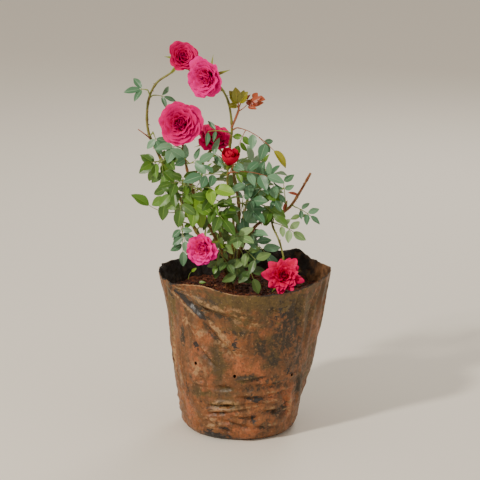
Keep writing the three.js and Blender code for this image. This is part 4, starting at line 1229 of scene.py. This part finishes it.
def grow_finer(name):
    """Finer sprays on one mass's twig and on the stalks of its sprays."""
    seed, size = MASSES[name][3], MASSES[name][4]
    twig, sprays = GROWN[name]
    draw = seeded(5000 + seed)
    low, high = mass_box(name)
    turns = BACK_TURNS if "back" in name else FRONT_TURNS
    found = []
    for _ in range(FINER_SPRAYS * (2 + len(sprays))):
        foot = twig.at(mix(0.25, 0.96, draw())) if draw() < 0.5 else sprays[0]["at"](mix(0.1, 0.6, draw()))
        turn = mix(*turns, draw())
        small = size * mix(*FINER_SIZES, draw())
        spray = grow_spray(foot, (360 * draw(), turn, mix(*FINER_REACHES, draw())), small, draw)
        spray["leaflets"] = [leaf for leaf in spray["leaflets"] if fits(leaf, low, high)]
        stalk_clear = all(is_clear(spray["at"](s), STALK_CLEARANCE) for s in (0.4, 0.7, 1))
        if len(spray["leaflets"]) > 1 and stalk_clear:
            found.append(spray)
            leaf_middles.extend(middle_of(leaf) for leaf in spray["leaflets"])
    return found


for _, mass_sprays in GROWN.values():
    leaf_middles.extend(middle_of(leaf) for spray in mass_sprays for leaf in spray["leaflets"])
FINER = {name: [] if name in NOT_FINER else grow_finer(name) for name in MASSES}
print("finer leaflets:", sum(len(spray["leaflets"]) for sprays in FINER.values() for spray in sprays))

# %% [markdown]
# ## One leaflet
#
# A rose leaflet is an oval with a point, finely toothed, folded a little along its midrib and raised between
# its side veins. One pattern of points is worked out once, in shares of length and width, and each leaflet
# bends a copy to its own size, fold and curl. Upper and under sides are separate faces, because the under
# side and the midrib are paler. Each leaflet has one plain colour on top, a painted shaded or a painted lit
# copy of its tint, dealt at random.

# %% the leaflet's pattern of points
TEETH = 12
THICK = 0.22
VEIN_LIFT, VEIN_SINK = 1.0, -0.6  # in turn, from tooth to tooth
HALFWAY, RIB_HALF, EDGE, TOOTH = 0.52, 0.045, 0.955, 1.03  # shares of the half-width


def leaf_outline(s):
    return np.sin(math.pi * np.clip(s, 0, 1) ** 0.85) ** 0.8


def leaf_pattern():
    """Points of (share, side, raised, under), and faces with their parts: 0 top, 1 midrib, 2 under side."""
    points = [(0.0, 0.0, 0.0, 0.0), (1.0, 0.0, 0.0, 0.0)]
    index = {}

    def put_point(key, s, ahead, side, raised=0.0, under=0.0):
        index[key] = len(points)
        points.append((s + ahead * math.sin(math.pi * s), side, raised, under))

    for i in range(1, TEETH):
        s = i / TEETH
        raised = VEIN_LIFT if i % 2 else VEIN_SINK
        for name, side, ahead, lift in (("M-", -HALFWAY, 0.035, raised), ("R-", -RIB_HALF, 0, -0.5),
                                        ("R+", RIB_HALF, 0, -0.5), ("M+", HALFWAY, 0.035, raised)):
            for under in (0, 1):
                put_point((i, name, under), s, ahead, side, lift, under)
        for name, side in (("E-", -EDGE), ("E+", EDGE)):
            put_point((i, name), s, 0.05, side)
    for i in range(TEETH):
        for name, side in (("T-", -TOOTH), ("T+", TOOTH)):
            put_point((i, name), (i + 0.78) / TEETH, 0.05, side)
    faces, parts = [], []

    def at(i, name, under):
        if i in (0, TEETH):
            return i // TEETH
        return index[i, name] if name[0] == "E" else index[i, name, under]

    for i in range(TEETH):
        for under in (0, 1):
            row = {name: at(i, name, under) for name in ("E-", "M-", "R-", "R+", "M+", "E+")}
            after = {name: at(i + 1, name, under) for name in row}
            left, right = index[i, "T-"], index[i, "T+"]
            strips = [
                (0, row["E-"], left, row["M-"]), (0, left, after["E-"], after["M-"]),
                (0, left, after["M-"], row["M-"]), (0, row["M-"], after["M-"], after["R-"]),
                (0, row["M-"], after["R-"], row["R-"]), (1, row["R-"], after["R-"], after["R+"]),
                (1, row["R-"], after["R+"], row["R+"]), (0, row["R+"], after["R+"], after["M+"]),
                (0, row["R+"], after["M+"], row["M+"]), (0, row["M+"], after["M+"], right),
                (0, after["M+"], after["E+"], right), (0, row["M+"], right, row["E+"]),
            ]
            for part, *corners in strips:
                if len(set(corners)) == 3:
                    faces.append(tuple(corners[::-1] if under else corners))
                    parts.append(2 if under else part)
    return np.array(points), faces, parts


LEAF_POINTS, LEAF_FACES, LEAF_PARTS = leaf_pattern()
print("a leaflet has", len(LEAF_POINTS), "points and", len(LEAF_FACES), "faces")

# %% leaf finishes
LEAF_TINTS = {  # upper side as a painted shaded and a painted lit copy, its midrib, and its under side
    "deep": ("#41661b", "#568022", "#759640", "#78975a"),
    "blue": ("#4a7653", "#69946f", "#88ab84", "#94b494"),
    "yellow": ("#5c861e", "#7aa42a", "#98b650", "#94ae58"),
    "mossy": ("#46662e", "#668446", "#849a58", "#7c9a64"),
    "pale": ("#74975a", "#8fb072", "#a8c08c", "#abc294"),
    "olive": ("#827f18", "#9c9826", "#aca240", "#a09840"),
    "bronze": ("#86301a", "#a54a26", "#b4623e", "#a65a3c"),
}
TINT_ORDER = list(LEAF_TINTS)


def leaf_finishes():
    """Four plain finishes for each tint, in the order of its colours."""
    # The first two are a painted shaded and a painted lit copy of the leaf's top colour
    kinds = (("painted shaded leaf", 0.4, 0.5), ("painted lit leaf", 0.42, 0.5), ("midrib", 0.5, 0.4),
             ("under side", 0.6, 0.3))
    return [Finish(f"{tint} {kind}", colour, roughness, specular=specular).material
            for tint, colours in LEAF_TINTS.items()
            for (kind, roughness, specular), colour in zip(kinds, colours)]


LEAF_FINISHES = leaf_finishes()
print("leaf finishes:", len(LEAF_FINISHES))

# %% how leaflets differ
LIT_SHARE = 0.45  # share of the leaflets whose top has the painted lit copy of its tint
VEIN_HEIGHT, EDGE_WAVE = 0.011, 0.022  # shares of a leaflet's length
STALKLET = 0.07  # share of a leaflet's length that is its own short stalk
# How far single leaflets stray from the rule
WIDTHS, FOLDS, CURLS, TWISTS = (0.84, 1.04), (0.3, 2.2), (0.6, 1.5), (-0.3, 0.3)
USUAL = (1, 1, 1)
# Leaves that look unlike the rest: width, fold and curl as shares of the usual ones
ODD_LEAVES = {
    "leaves_top_left": (0.72, 1.6, 1.2),
    "leaves_top_inner": (0.62, 2.0, 1.2),
    "leaves_right_up": (0.85, 1.4, 1.2),
    "leaves_right_out": (0.85, 1.4, 1.0),
    "leaves_low_right": (0.85, 1.6, 1.4),
    "leaves_dark_bloom": (0.55, 1.8, 1.2),
    "leaves_dark_front": (0.7, 1.4, 1.2),
    "new_shoot": (1.2, 1.4, 1.2),
}
HANGING = (0.6, 2.4, 3)  # the olive leaflet that hangs by itself at the right


# %% bending a leaflet
def add_leaflet(heap, leaflet, tint, draw, odd=USUAL):
    """Bends a copy of the pattern to one leaflet's size and way."""
    long = leaflet["long"] * (1 - STALKLET)
    wide = long * LEAF_WIDE * odd[0] * mix(*WIDTHS, draw())
    fold, curl = FOLD * odd[1] * mix(*FOLDS, draw()), CURL * odd[2] * mix(*CURLS, draw())
    twist, phase = mix(*TWISTS, draw()), 6.3 * draw()
    s, side, raised, under = LEAF_POINTS.T
    half = leaf_outline(s) * wide / 2
    across = side * half
    fullness = half * 2 / wide
    lift = fold * np.abs(across) - curl * s * s * long + raised * VEIN_HEIGHT * long * fullness
    wave = EDGE_WAVE * long * np.abs(side) ** 3 * np.sin(9 * s + phase + np.sign(side) * 1.1) * fullness
    lift = lift + twist * across * s + wave - under * THICK
    way, normal = leaflet["way"], leaflet["normal"]
    root = leaflet["root"] + way * leaflet["long"] * STALKLET
    sideways = np.cross(normal, way)
    points = root + np.outer(s * long, way) + np.outer(across, sideways) + np.outer(lift, normal)
    base = 4 * TINT_ORDER.index(tint)
    # Each top gets the painted shaded or the painted lit copy of its tint, at random
    slots = (base + int(draw() < LIT_SHARE), base + 2, base + 3)
    heap.add(points, LEAF_FACES, slot=[slots[part] for part in LEAF_PARTS])


def spray_tint(tint, draw):
    """A finer spray mostly has its mass's tint, and now and then a younger or a deeper one."""
    chance = draw()
    return "yellow" if chance < 0.1 else "deep" if chance < 0.3 else tint


def young_tint(spray_index, draw):
    """The new shoot's lower spray is mostly olive, and the rest of it bronze."""
    return "olive" if spray_index == 0 and draw() < 0.8 else "bronze"


# %% stalks and twigs
STALK_FINISHES = [
    Finish("green stalk", "#7f8f45", 0.5, specular=0.4).material,
    Finish("reddish stalk", "#96573a", 0.5, specular=0.4).material,
]
REDDISH = ("new_shoot", "leaves_bud_right", "leaves_right_high")


def add_stalks(heap, sprays, red, thick=1.0):
    """The stalk of each spray, as far as its last leaflet, and the short stalks of its leaflets."""
    for spray in sprays:
        if not spray["leaflets"]:
            continue
        end = max(leaf["share"] for leaf in spray["leaflets"])
        count = max(4, int(spray["length"] * end / 2))
        path = [spray["at"](s) for s in np.linspace(0, end, count)]
        radii = np.concatenate([[0.75, 0.62], np.linspace(0.52, 0.3, count)[2:]]) * thick
        heap.add(*tube(path, radii, 7), slot=red)
        for leaf in spray["leaflets"]:
            root, way = leaf["root"], leaf["way"] * leaf["long"] * (STALKLET + 0.02)
            heap.add(*tube([root, mix(root, root + way, 0.5), root + way], [0.3, 0.26, 0.22], 5), slot=red)


# %% leaves and stalks that stand by themselves
LONE_LEAVES = {  # foot and tip, tint, and width as a share of the usual one
    "new_shoot_leaves": [
        ((-3, -5, 329), (-12, -7, 343), "olive", 1.25), ((-5, -6, 331), (-6, -9, 346), "olive", 1.1),
        ((-3, -6, 330), (5, -9, 342), "olive", 1.1), ((-4, -4, 326), (-13, -7, 330), "olive", 1.0),
        ((-2, -4, 330), (2, -2, 343), "olive", 1.0), ((5, -5, 329), (18, -8, 337), "bronze", 0.7),
        ((5, -5, 328), (21, -6, 332), "bronze", 0.7), ((5, -5, 327), (14, -10, 326), "bronze", 0.8),
    ],
    "leaves_right_side": [
        ((41, 1, 221), (45, -1, 232), "bronze", 0.5), ((57, 1, 237), (46, -2, 241), "bronze", 0.5),
        ((-44, 15, 144), (-37, 12, 145), "yellow", 0.8), ((-52, 38, 149), (-47, 35, 154), "yellow", 0.8),
    ],
}
LONE_STALKS = [  # points, foot and tip radius, and whether reddish
    ([(-102.5, -2, 304), (-95, 0, 298), (-91.5, 9, 293)], 0.5, 0.9, 1),
    ([(-10.5, 0, 305), (-6, -1, 315), (-3, -4, 324), (-4, -5, 331)], 1.2, 0.7, 1),
    ([(-3.5, -3.5, 322), (1, -4, 325), (5, -5, 329)], 0.6, 0.4, 1),
    ([(-55, 40, 141), (-54, 39, 146), (-52, 38, 149)], 0.5, 0.3, 0),
]


def add_lone_leaf(heap, foot, tip, tint, wide, draw):
    foot, tip = np.array(foot, float), np.array(tip, float)
    way = unit(tip - foot)
    long = float(np.linalg.norm(tip - foot))
    leaflet = {"root": foot, "way": way, "normal": square_to((0.1, -0.8, 0.5), way), "long": long}
    add_leaflet(heap, leaflet, tint, draw, (wide, 1.6, 1.2))


# %% the leaves in four pieces, and their stalks in one
def make_leaves(name, mass_names, seed, slot="leaf"):
    """All leaflets of these masses as one mesh."""
    heap, draw = Heap(), seeded(seed)
    for foot, tip, tint, wide in LONE_LEAVES.get(name, []):
        add_lone_leaf(heap, foot, tip, tint, wide, draw)
    for mass_name in mass_names:
        tint, odd = MASSES[mass_name][5], ODD_LEAVES.get(mass_name, USUAL)
        for index, spray in enumerate(GROWN[mass_name][1]):
            for leaflet in spray["leaflets"]:
                own = young_tint(index, draw) if tint == "young" else tint
                if mass_name == "leaves_right_high" and leaflet["share"] == 1:
                    add_leaflet(heap, leaflet, "olive", draw, HANGING)
                else:
                    add_leaflet(heap, leaflet, own, draw, odd)
        for spray in FINER[mass_name]:
            own = spray_tint(tint, draw)
            for leaflet in spray["leaflets"]:
                add_leaflet(heap, leaflet, own, draw, odd)
    return dress(heap.build(name, LEAF_FINISHES), slot, *mass_names)


def make_stalks():
    heap = Heap()
    for mass_name, (twig, sprays) in GROWN.items():
        red = int(mass_name in REDDISH)
        points, length = twig.even(2.0)
        if length > 1:
            heap.add(*tube(points, np.linspace(0.85, 0.6, len(points)), 8), slot=red)
        add_stalks(heap, sprays, red)
        add_stalks(heap, FINER[mass_name], red, 0.8)
    for joints, foot_radius, tip_radius, red in LONE_STALKS:
        points, _ = Line(joints).even(1.5)
        heap.add(*tube(points, np.linspace(foot_radius, tip_radius, len(points)), 8), slot=red)
    return dress(heap.build("leaf_stalks", STALK_FINISHES), "cane")


BACK_MASSES = [name for name in MASSES if "back" in name]
LEFT_MASSES = [name for name in MASSES if MASSES[name][2][0] < -30 and name not in BACK_MASSES]
RIGHT_MASSES = [name for name in MASSES if name not in BACK_MASSES + LEFT_MASSES + ["new_shoot"]]
make_leaves("leaves_behind", BACK_MASSES, 901)
make_leaves("leaves_left_side", LEFT_MASSES, 902)
make_leaves("leaves_right_side", RIGHT_MASSES, 903)
make_leaves("new_shoot_leaves", ["new_shoot"], 904, slot="young_leaf")
make_stalks()

# %% [markdown]
# ## The blooms
#
# A double rose has its petals on one spiral, each a little over a third of a turn from the last. The middle
# ones are small, upright and rolled in, and the outer ones are broad, open and curled back at the edge. Each
# petal is a grid that bends along its length like a shallow bowl, cups across its width and ruffles at its
# margin. It has two faces a quarter of a millimetre apart, because its back is duller and mostly paler. The
# finish reads a map that runs along each petal, so that the foot is darker with painted shade and the edge
# brighter with a painted highlight. The inner petals also take a deeper heart colour, which is painted
# shade.

# %% the blooms' places and kinds
BLOOMS = {  # middle, half-width, the way it faces, kind, its slot, and the cane that carries it
    "bloom_top_left": ((-58, 7, 374), 16, (0.3, -0.86, 0.4), "cupped", "petal", "cane_left"),
    "bloom_top_right": ((-35, -18, 357), 20, (-0.5, -0.85, -0.1), "open", "petal", "cane_centre"),
    "bloom_big": ((-60, -15, 312), 21, (-0.1, -0.96, 0.2), "full", "petal", "cane_mid"),
    "bloom_dark": ((-27, 21, 291), 18, (0.25, -0.5, 0.8), "dark", "dark_petal", "cane_dark"),
    "rose_bud": ((-12, -21, 279), 8.6, (0.14, -0.38, 0.9), "bud", "crimson_petal", "cane_front"),
    "bloom_low_left": ((-39, -38, 192), 17.5, (-0.25, -0.9, -0.1), "pink", "petal", "cane_low_left"),
    "bloom_low_right": ((41, -37, 164), 19, (0.05, -0.9, 0.3), "spiky", "crimson_petal", "cane_low_right"),
}
# For each kind: petals, opening angle of the outermost from the axis, how loose, ruffle, width, point, edge
# roll, and how narrow the bloom is from side to side. Then the colours of the petals' foot (painted shade),
# body and edge (painted highlight), of the bloom's heart (painted shade), and of the petals' backs
KINDS = {
    "full": ((46, 96, 11, 0.07, 1.08, 0, 0.10, 1),
             ("#900044", "#d80068", "#e60080", "#a8004a", "#ee0c88")),
    "cupped": ((38, 82, 7, 0.04, 1.12, 0, 0.05, 1),
               ("#900040", "#d80060", "#e40076", "#a00042", "#ee0c88")),
    "open": ((38, 98, 15, 0.07, 1.1, 0, 0.14, 0.95),
             ("#a4004e", "#e0007a", "#ee0092", "#bc005e", "#ee0c88")),
    "dark": ((36, 104, 13, 0.07, 1, 0.1, 0.12, 1),
             ("#84002e", "#cc0058", "#ee0072", "#940038", "#d80c6c")),
    "spiky": ((54, 100, 12, 0.07, 0.72, 0.34, 0.14, 1),
              ("#88002a", "#e00050", "#f4006c", "#a40032", "#f01c70")),
    "bud": ((22, 4, 8, 0.03, 1.1, 0, 0.05, 1),
            ("#70001a", "#bc0032", "#d20044", "#940022", "#c40834")),
    "pink": ((50, 88, 10, 0.08, 0.95, 0, 0.08, 0.86),
             ("#d40076", "#ff009c", "#ff0ca6", "#e60080", "#ff1ca4")),
}
GOLDEN_TURN, TURN_SLACK = 137.508, 14
PETAL_ROWS, PETAL_COLUMNS = 12, 16
HEART_SHADE = 0.7
PETAL_THICK = 0.26
BUD_DEPTH, BLOOM_DEPTH = 1.0, 0.42  # how far the petals' feet lie behind the middle, in radii


# %% one petal
def petal_points(kind, radius, t, draw):
    """A petal in the bloom's own frame, at share t of the spiral: 0 is the heart and 1 the outermost."""
    _, opening, loose, ruffling, girth, point, rolling, _ = KINDS[kind][0]
    bud = kind == "bud"
    v = np.linspace(0, 1, PETAL_ROWS)
    long = radius * (mix(1.9, 2.15, t) if bud else mix(0.62, 1.2, t**0.8)) * mix(0.93, 1.05, draw())
    wide = radius * girth * (mix(1.0, 1.6, t) if bud else mix(0.5, 1.12, t**0.7)) * mix(0.9, 1.1, draw())

    # Its middle line leans out from the axis. The outer petals also make a shallow bowl near the foot
    start = math.radians(mix(4, 64 if bud else 52, t))
    end = math.radians(mix(-42, opening, t**0.85) + mix(-1, 1, draw()) * loose)
    lean = start + (end - start) * v**1.2
    if not bud:
        lean = lean + float(smooth(0.15, 0.9, t)) * (0.62 * bell(v / 0.16) - 0.5 * bell((v - 0.5) / 0.22))
    step = long / (PETAL_ROWS - 1)
    depth = (BUD_DEPTH if bud else BLOOM_DEPTH) * radius
    out = radius * mix(0.015, 0.1, t) + np.concatenate([[0], np.cumsum(np.sin(lean[1:]))]) * step
    high = np.concatenate([[0], np.cumsum(np.cos(lean[1:]))]) * step - depth

    # Its outline is narrow at the foot and round or pointed at the edge, and it cups from side to side
    u = np.linspace(-1, 1, PETAL_COLUMNS)
    half = wide / 2 * (0.3 + 0.7 * np.sin(0.5 * math.pi * np.minimum(1, v / 0.62)) ** 1.2)
    rounding = 1 - (0.27 + point) * np.abs(u) ** (2.3 - 2.0 * point) - (0.05 - 0.12 * point) * bell(u / 0.22)
    cup = radius * (mix(0.34, 0.75, t) if bud else mix(0.2, 1.5, t))
    waves, phase = mix(1.3, 2.5, draw()), 6.3 * draw()
    grid = np.zeros((PETAL_ROWS, PETAL_COLUMNS, 3))
    outward = np.zeros((PETAL_ROWS, PETAL_COLUMNS, 3))
    for j, side in enumerate(u):
        at = v * rounding[j]
        o, h, a = np.interp(at, v, out), np.interp(at, v, high), np.interp(at, v, lean)
        angle = side * np.interp(at, v, half) / cup
        margin = (at / max(rounding[j], 0.01)) ** 4
        swing = waves * side * math.pi
        frill = math.sin(swing + phase) + 0.3 * math.sin(1.7 * swing + 2 * phase)
        ruffle = ruffling * radius * margin * frill * (0.3 + 0.7 * t)
        roll = rolling * radius * margin * abs(side) ** 2 * t
        shift = ruffle + roll - cup * (1 - np.cos(angle))
        grid[:, j] = np.stack([o + np.cos(a) * shift, cup * np.sin(angle), h - np.sin(a) * shift], 1)
        facing = np.stack([np.cos(a) * np.cos(angle), np.sin(angle), -np.sin(a) * np.cos(angle)], 1)
        outward[:, j] = facing * (PETAL_THICK / 2 * (1 - 0.65 * margin))[:, None]
    return (grid - outward).reshape(-1, 3), (grid + outward).reshape(-1, 3)


# %% a petal's faces and maps
def petal_pattern():
    """A petal's faces and their parts: its inner face, its back, and the thin strip round its edge."""
    count = PETAL_ROWS * PETAL_COLUMNS
    index = np.arange(count).reshape(PETAL_ROWS, PETAL_COLUMNS)
    edge = np.concatenate([index[0, :-1], index[:-1, -1], index[-1, :0:-1], index[:0:-1, 0]])
    faces, parts = [], []
    for i in range(PETAL_ROWS - 1):
        for j in range(PETAL_COLUMNS - 1):
            corners = (index[i, j], index[i, j + 1], index[i + 1, j + 1], index[i + 1, j])
            faces += [corners, tuple(count + k for k in corners[::-1])]
            parts += [0, 1]
    start, length = 2 * count, len(edge) + 1
    for k in range(start, start + len(edge)):
        faces.append((k, length + k, length + k + 1, k + 1))
        parts.append(0)
    return faces, parts, np.append(edge, edge[0])


PETAL_FACES, PETAL_PARTS, PETAL_EDGE = petal_pattern()


def petal_maps(k, cells):
    """Where a petal's points lie on its own map, and on the bloom's shared map for baking."""
    along, wide = np.meshgrid(np.linspace(0, 1, PETAL_ROWS), np.linspace(0, 1, PETAL_COLUMNS), indexing="ij")
    flat = np.stack([wide.ravel(), along.ravel()], 1)
    strip = np.linspace(0, 1, len(PETAL_EDGE))
    own = np.concatenate([flat, flat, flat[PETAL_EDGE], flat[PETAL_EDGE]]) + np.array([k, 0])
    cell = [np.array([n % cells, n // cells]) for n in (2 * k, 2 * k + 1)]
    baked = [cell[0] + 0.04 + 0.86 * flat, cell[1] + 0.04 + 0.86 * flat]
    baked += [cell[0] + np.stack([0.04 + 0.9 * strip, 0 * strip + level], 1) for level in (0.93, 0.96)]
    return np.hstack([own, np.concatenate(baked) / cells])


# %% the velvet of a petal
def read_petal(group):
    return put(group, "UVMap", {}, uv_map="Petal")["UV"]


def make_petal_rise():
    """Runs from 0 at a petal's foot to 1 at its edge."""
    group, _, rise = new_effect("Petal rise", "Rise")
    group.links.new(put(group, "SeparateXYZ", {0: read_petal(group)})["Y"], rise)
    return group


def make_petal_veins():
    """Fine veins that run up a petal and spread out."""
    group, given, mask = new_effect("Petal veins", "Mask", Count=26.0)
    place = put(group, "VectorMath", {0: read_petal(group), 1: (1.0, 0.07, 1.0)}, operation="MULTIPLY")[0]
    veins = put(group, "TexNoise", {"Vector": place, "Scale": given["Count"], "Detail": 3.0})["Fac"]
    marks = {"Value": veins, "From Min": 0.35, "From Max": 0.65}
    group.links.new(put(group, "MapRange", marks)["Result"], mask)
    return group


PETAL_RISE = make_petal_rise()
PETAL_VEINS = make_petal_veins()


# %% petal finishes
def petal_finish(kind, back=False):
    """The inner face of the petals, or their duller back."""
    foot, body, edge, heart, back_colour = KINDS[kind][1]
    name, roughness = (" petal backs", 0.7) if back else (" petals", 0.58)
    velvet = Finish(kind + name, body, roughness, specular=0.12)
    rise = velvet.effect(PETAL_RISE)
    veins = velvet.effect(PETAL_VEINS, Count=26.0)
    # The darker foot and the heart colour are painted shade, and the brighter edge is a painted highlight
    lower, upper = soft_span(velvet.tree, rise, 0.0, 0.55), soft_span(velvet.tree, rise, 0.74, 1.0)
    colour = velvet.blend(lower, foot, body)
    colour = velvet.blend(velvet.times(upper, velvet.scale(veins, 0.45, 0.95)), colour, edge)
    colour = velvet.blend(velvet.carried("heart"), colour, heart)
    if back:
        colour = velvet.blend(velvet.scale(rise, 0.1, 0.5), colour, back_colour)
    return velvet.wear(colour, None, velvet.bump(veins, 0.00005))


# %% putting a bloom together
def bloom_frame(name):
    """The bloom's middle and its three directions: side, over, and the way it faces."""
    axis = unit(BLOOMS[name][2])
    side = square_to(UP, axis)
    return np.array(BLOOMS[name][0], float), side, np.cross(axis, side), axis


def make_bloom(name, seed):
    _, radius, _, kind, slot, _ = BLOOMS[name]
    middle, side, over, axis = bloom_frame(name)
    draw = seeded(seed)
    count, narrow = KINDS[kind][0][0], KINDS[kind][0][-1]
    cells = math.ceil(math.sqrt(2 * count))
    heap = Heap()
    for k in range(count):
        t = (k + 0.5) / count
        inner, back = petal_points(kind, radius, t, draw)
        x, y, z = np.concatenate([inner, back, inner[PETAL_EDGE], back[PETAL_EDGE]]).T
        turn = math.radians(k * GOLDEN_TURN + mix(-TURN_SLACK, TURN_SLACK, draw()))
        sideways = x * math.cos(turn) - y * math.sin(turn)
        across = (x * math.sin(turn) + y * math.cos(turn)) * narrow
        points = middle + np.outer(sideways, side) + np.outer(across, over) + np.outer(z, axis)
        # The inner petals take the heart colour, a painted shade deep in the bloom
        heart = HEART_SHADE * (1 - float(smooth(0.02, 0.4, t)))
        heap.add(points, PETAL_FACES, slot=PETAL_PARTS, value=heart, place=petal_maps(k, cells))
    finishes, maps = [petal_finish(kind), petal_finish(kind, back=True)], ("Petal", "OFBake")
    piece = heap.build(name + "_petals", finishes, value_name="heart", map_names=maps, crease=180)
    return dress(piece, slot, name)


for bloom_index, bloom_name in enumerate(BLOOMS):
    make_bloom(bloom_name, 300 + bloom_index)


# %% necks, hips and sepals
SEPAL_FINISH = Finish("green sepal", "#7c8f34", 0.55, specular=0.35).material
SEPALS = 5
NECK_RADII = (1.05, 1.25)
BUD_HIP, BLOOM_HIP = 1.1, 0.38  # how far the hip lies behind the middle, in radii
BUD_SEPAL, BLOOM_SEPAL = 0.95, 1.06  # the sepals' lengths, in radii
HIP_SWELL, HIP_PLACE, HIP_WIDTH = 1.15, 2.6, 1.9


def make_sepals():
    """Under each bloom the cane swells to a green hip, from which five narrow sepals turn back."""
    heap, draw = Heap(), seeded(640)
    for name, (_, radius, _, kind, _, cane) in BLOOMS.items():
        middle, side, _, axis = bloom_frame(name)
        bud = kind == "bud"
        base = middle - axis * (BUD_HIP if bud else BLOOM_HIP) * radius
        neck = Line([LIMBS[cane].at(1), base - axis * 0.35 * radius, base + axis * 0.08 * radius])
        points, length = neck.even(0.6)
        hip = 1 + HIP_SWELL * bell((np.linspace(-length, 0, len(points)) + HIP_PLACE) / HIP_WIDTH)
        heap.add(*tube(points, np.linspace(*NECK_RADII, len(points)) * hip, 12))
        for i in range(SEPALS):
            radial = turned(side, axis, 360 / SEPALS * i)
            way = unit(radial + axis * (0.35 if bud else -0.1 - 0.25 * draw()))
            long = (BUD_SEPAL if bud else BLOOM_SEPAL) * radius
            add_sepal(heap, base - axis * 0.6, way, square_to(axis, way), long, draw)
    return dress(heap.build("sepals_and_necks", [SEPAL_FINISH]), "cane")


def add_sepal(heap, root, way, normal, long, draw):
    """A narrow blade with a long point, curved back."""
    s = np.linspace(0, 1, 12)
    half = np.maximum(1.7 * np.sin(math.pi * s**0.55) ** 0.9 + 0.12 * (1 - s), 0.08)
    curl = mix(0.0, 0.22, draw()) * long * s**2
    sideways = np.cross(normal, way)
    rings = []
    for share, h, back in zip(s, half, curl):
        spot = root + way * share * long - normal * back
        rings.append([spot - sideways * h + normal * 0.3 * h, spot - normal * 0.22,
                      spot + sideways * h + normal * 0.3 * h, spot + normal * 0.12])
    heap.add(*skin(rings))


make_sepals()

# %% [markdown]
# ## Camera, floor and light
#
# The camera looks down a little, from about two metres away, as in the photograph, so that the mouth of the
# bag shows as a narrow oval. A warm key light from the upper left gives the petals and folds their shading,
# a wide soft one fills the shadows, and a third from behind lights the edges.

# %% camera
camera = bpy.data.objects.new("camera", bpy.data.cameras.new("camera"))
camera.location = (-0.002, -1.80746, 0.60878)
camera.rotation_euler = (math.radians(77), 0, 0)
camera.data.sensor_width = 36
camera.data.lens = 139.1
bpy.context.scene.collection.objects.link(camera)
bpy.context.scene.camera = camera


# %% floor and light
FLOOR_REACH = 12000
FLOOR_LEVEL = -0.2
AIM = Vector((0, 0, 0.2))


def make_floor():
    heap = Heap()
    signs = ((-1, -1), (1, -1), (1, 1), (-1, 1))
    heap.add([(x * FLOOR_REACH, y * FLOOR_REACH, FLOOR_LEVEL) for x, y in signs], [(0, 1, 2, 3)])
    floor = heap.build("floor", [Finish("pale floor", "#f2ebdf", 0.8, specular=0.2).material])


def add_light(name, place, size, power, colour):
    light = bpy.data.lights.new(name, "AREA")
    light.shape = "DISK"
    light.size = size
    light.energy = power
    light.color = colour
    lamp = bpy.data.objects.new(name, light)
    lamp.location = place
    lamp.rotation_euler = (AIM - Vector(place)).to_track_quat("-Z", "Y").to_euler()
    bpy.context.scene.collection.objects.link(lamp)
    print("light:", name)


make_floor()
add_light("key", (-1.45, -1.45, 1.65), 0.22, 50, (1.0, 0.93, 0.82))
add_light("fill", (1.8, -1.4, 0.9), 1.6, 4, (0.92, 0.96, 1.0))
add_light("rim", (0.6, 1.6, 1.4), 0.8, 12, (1.0, 0.97, 0.92))
world = bpy.data.worlds.new("studio")
world.use_nodes = True
world.node_tree.nodes["Background"].inputs["Color"].default_value = paint("#fbf1e2")
world.node_tree.nodes["Background"].inputs["Strength"].default_value = 0.62
bpy.context.scene.world = world
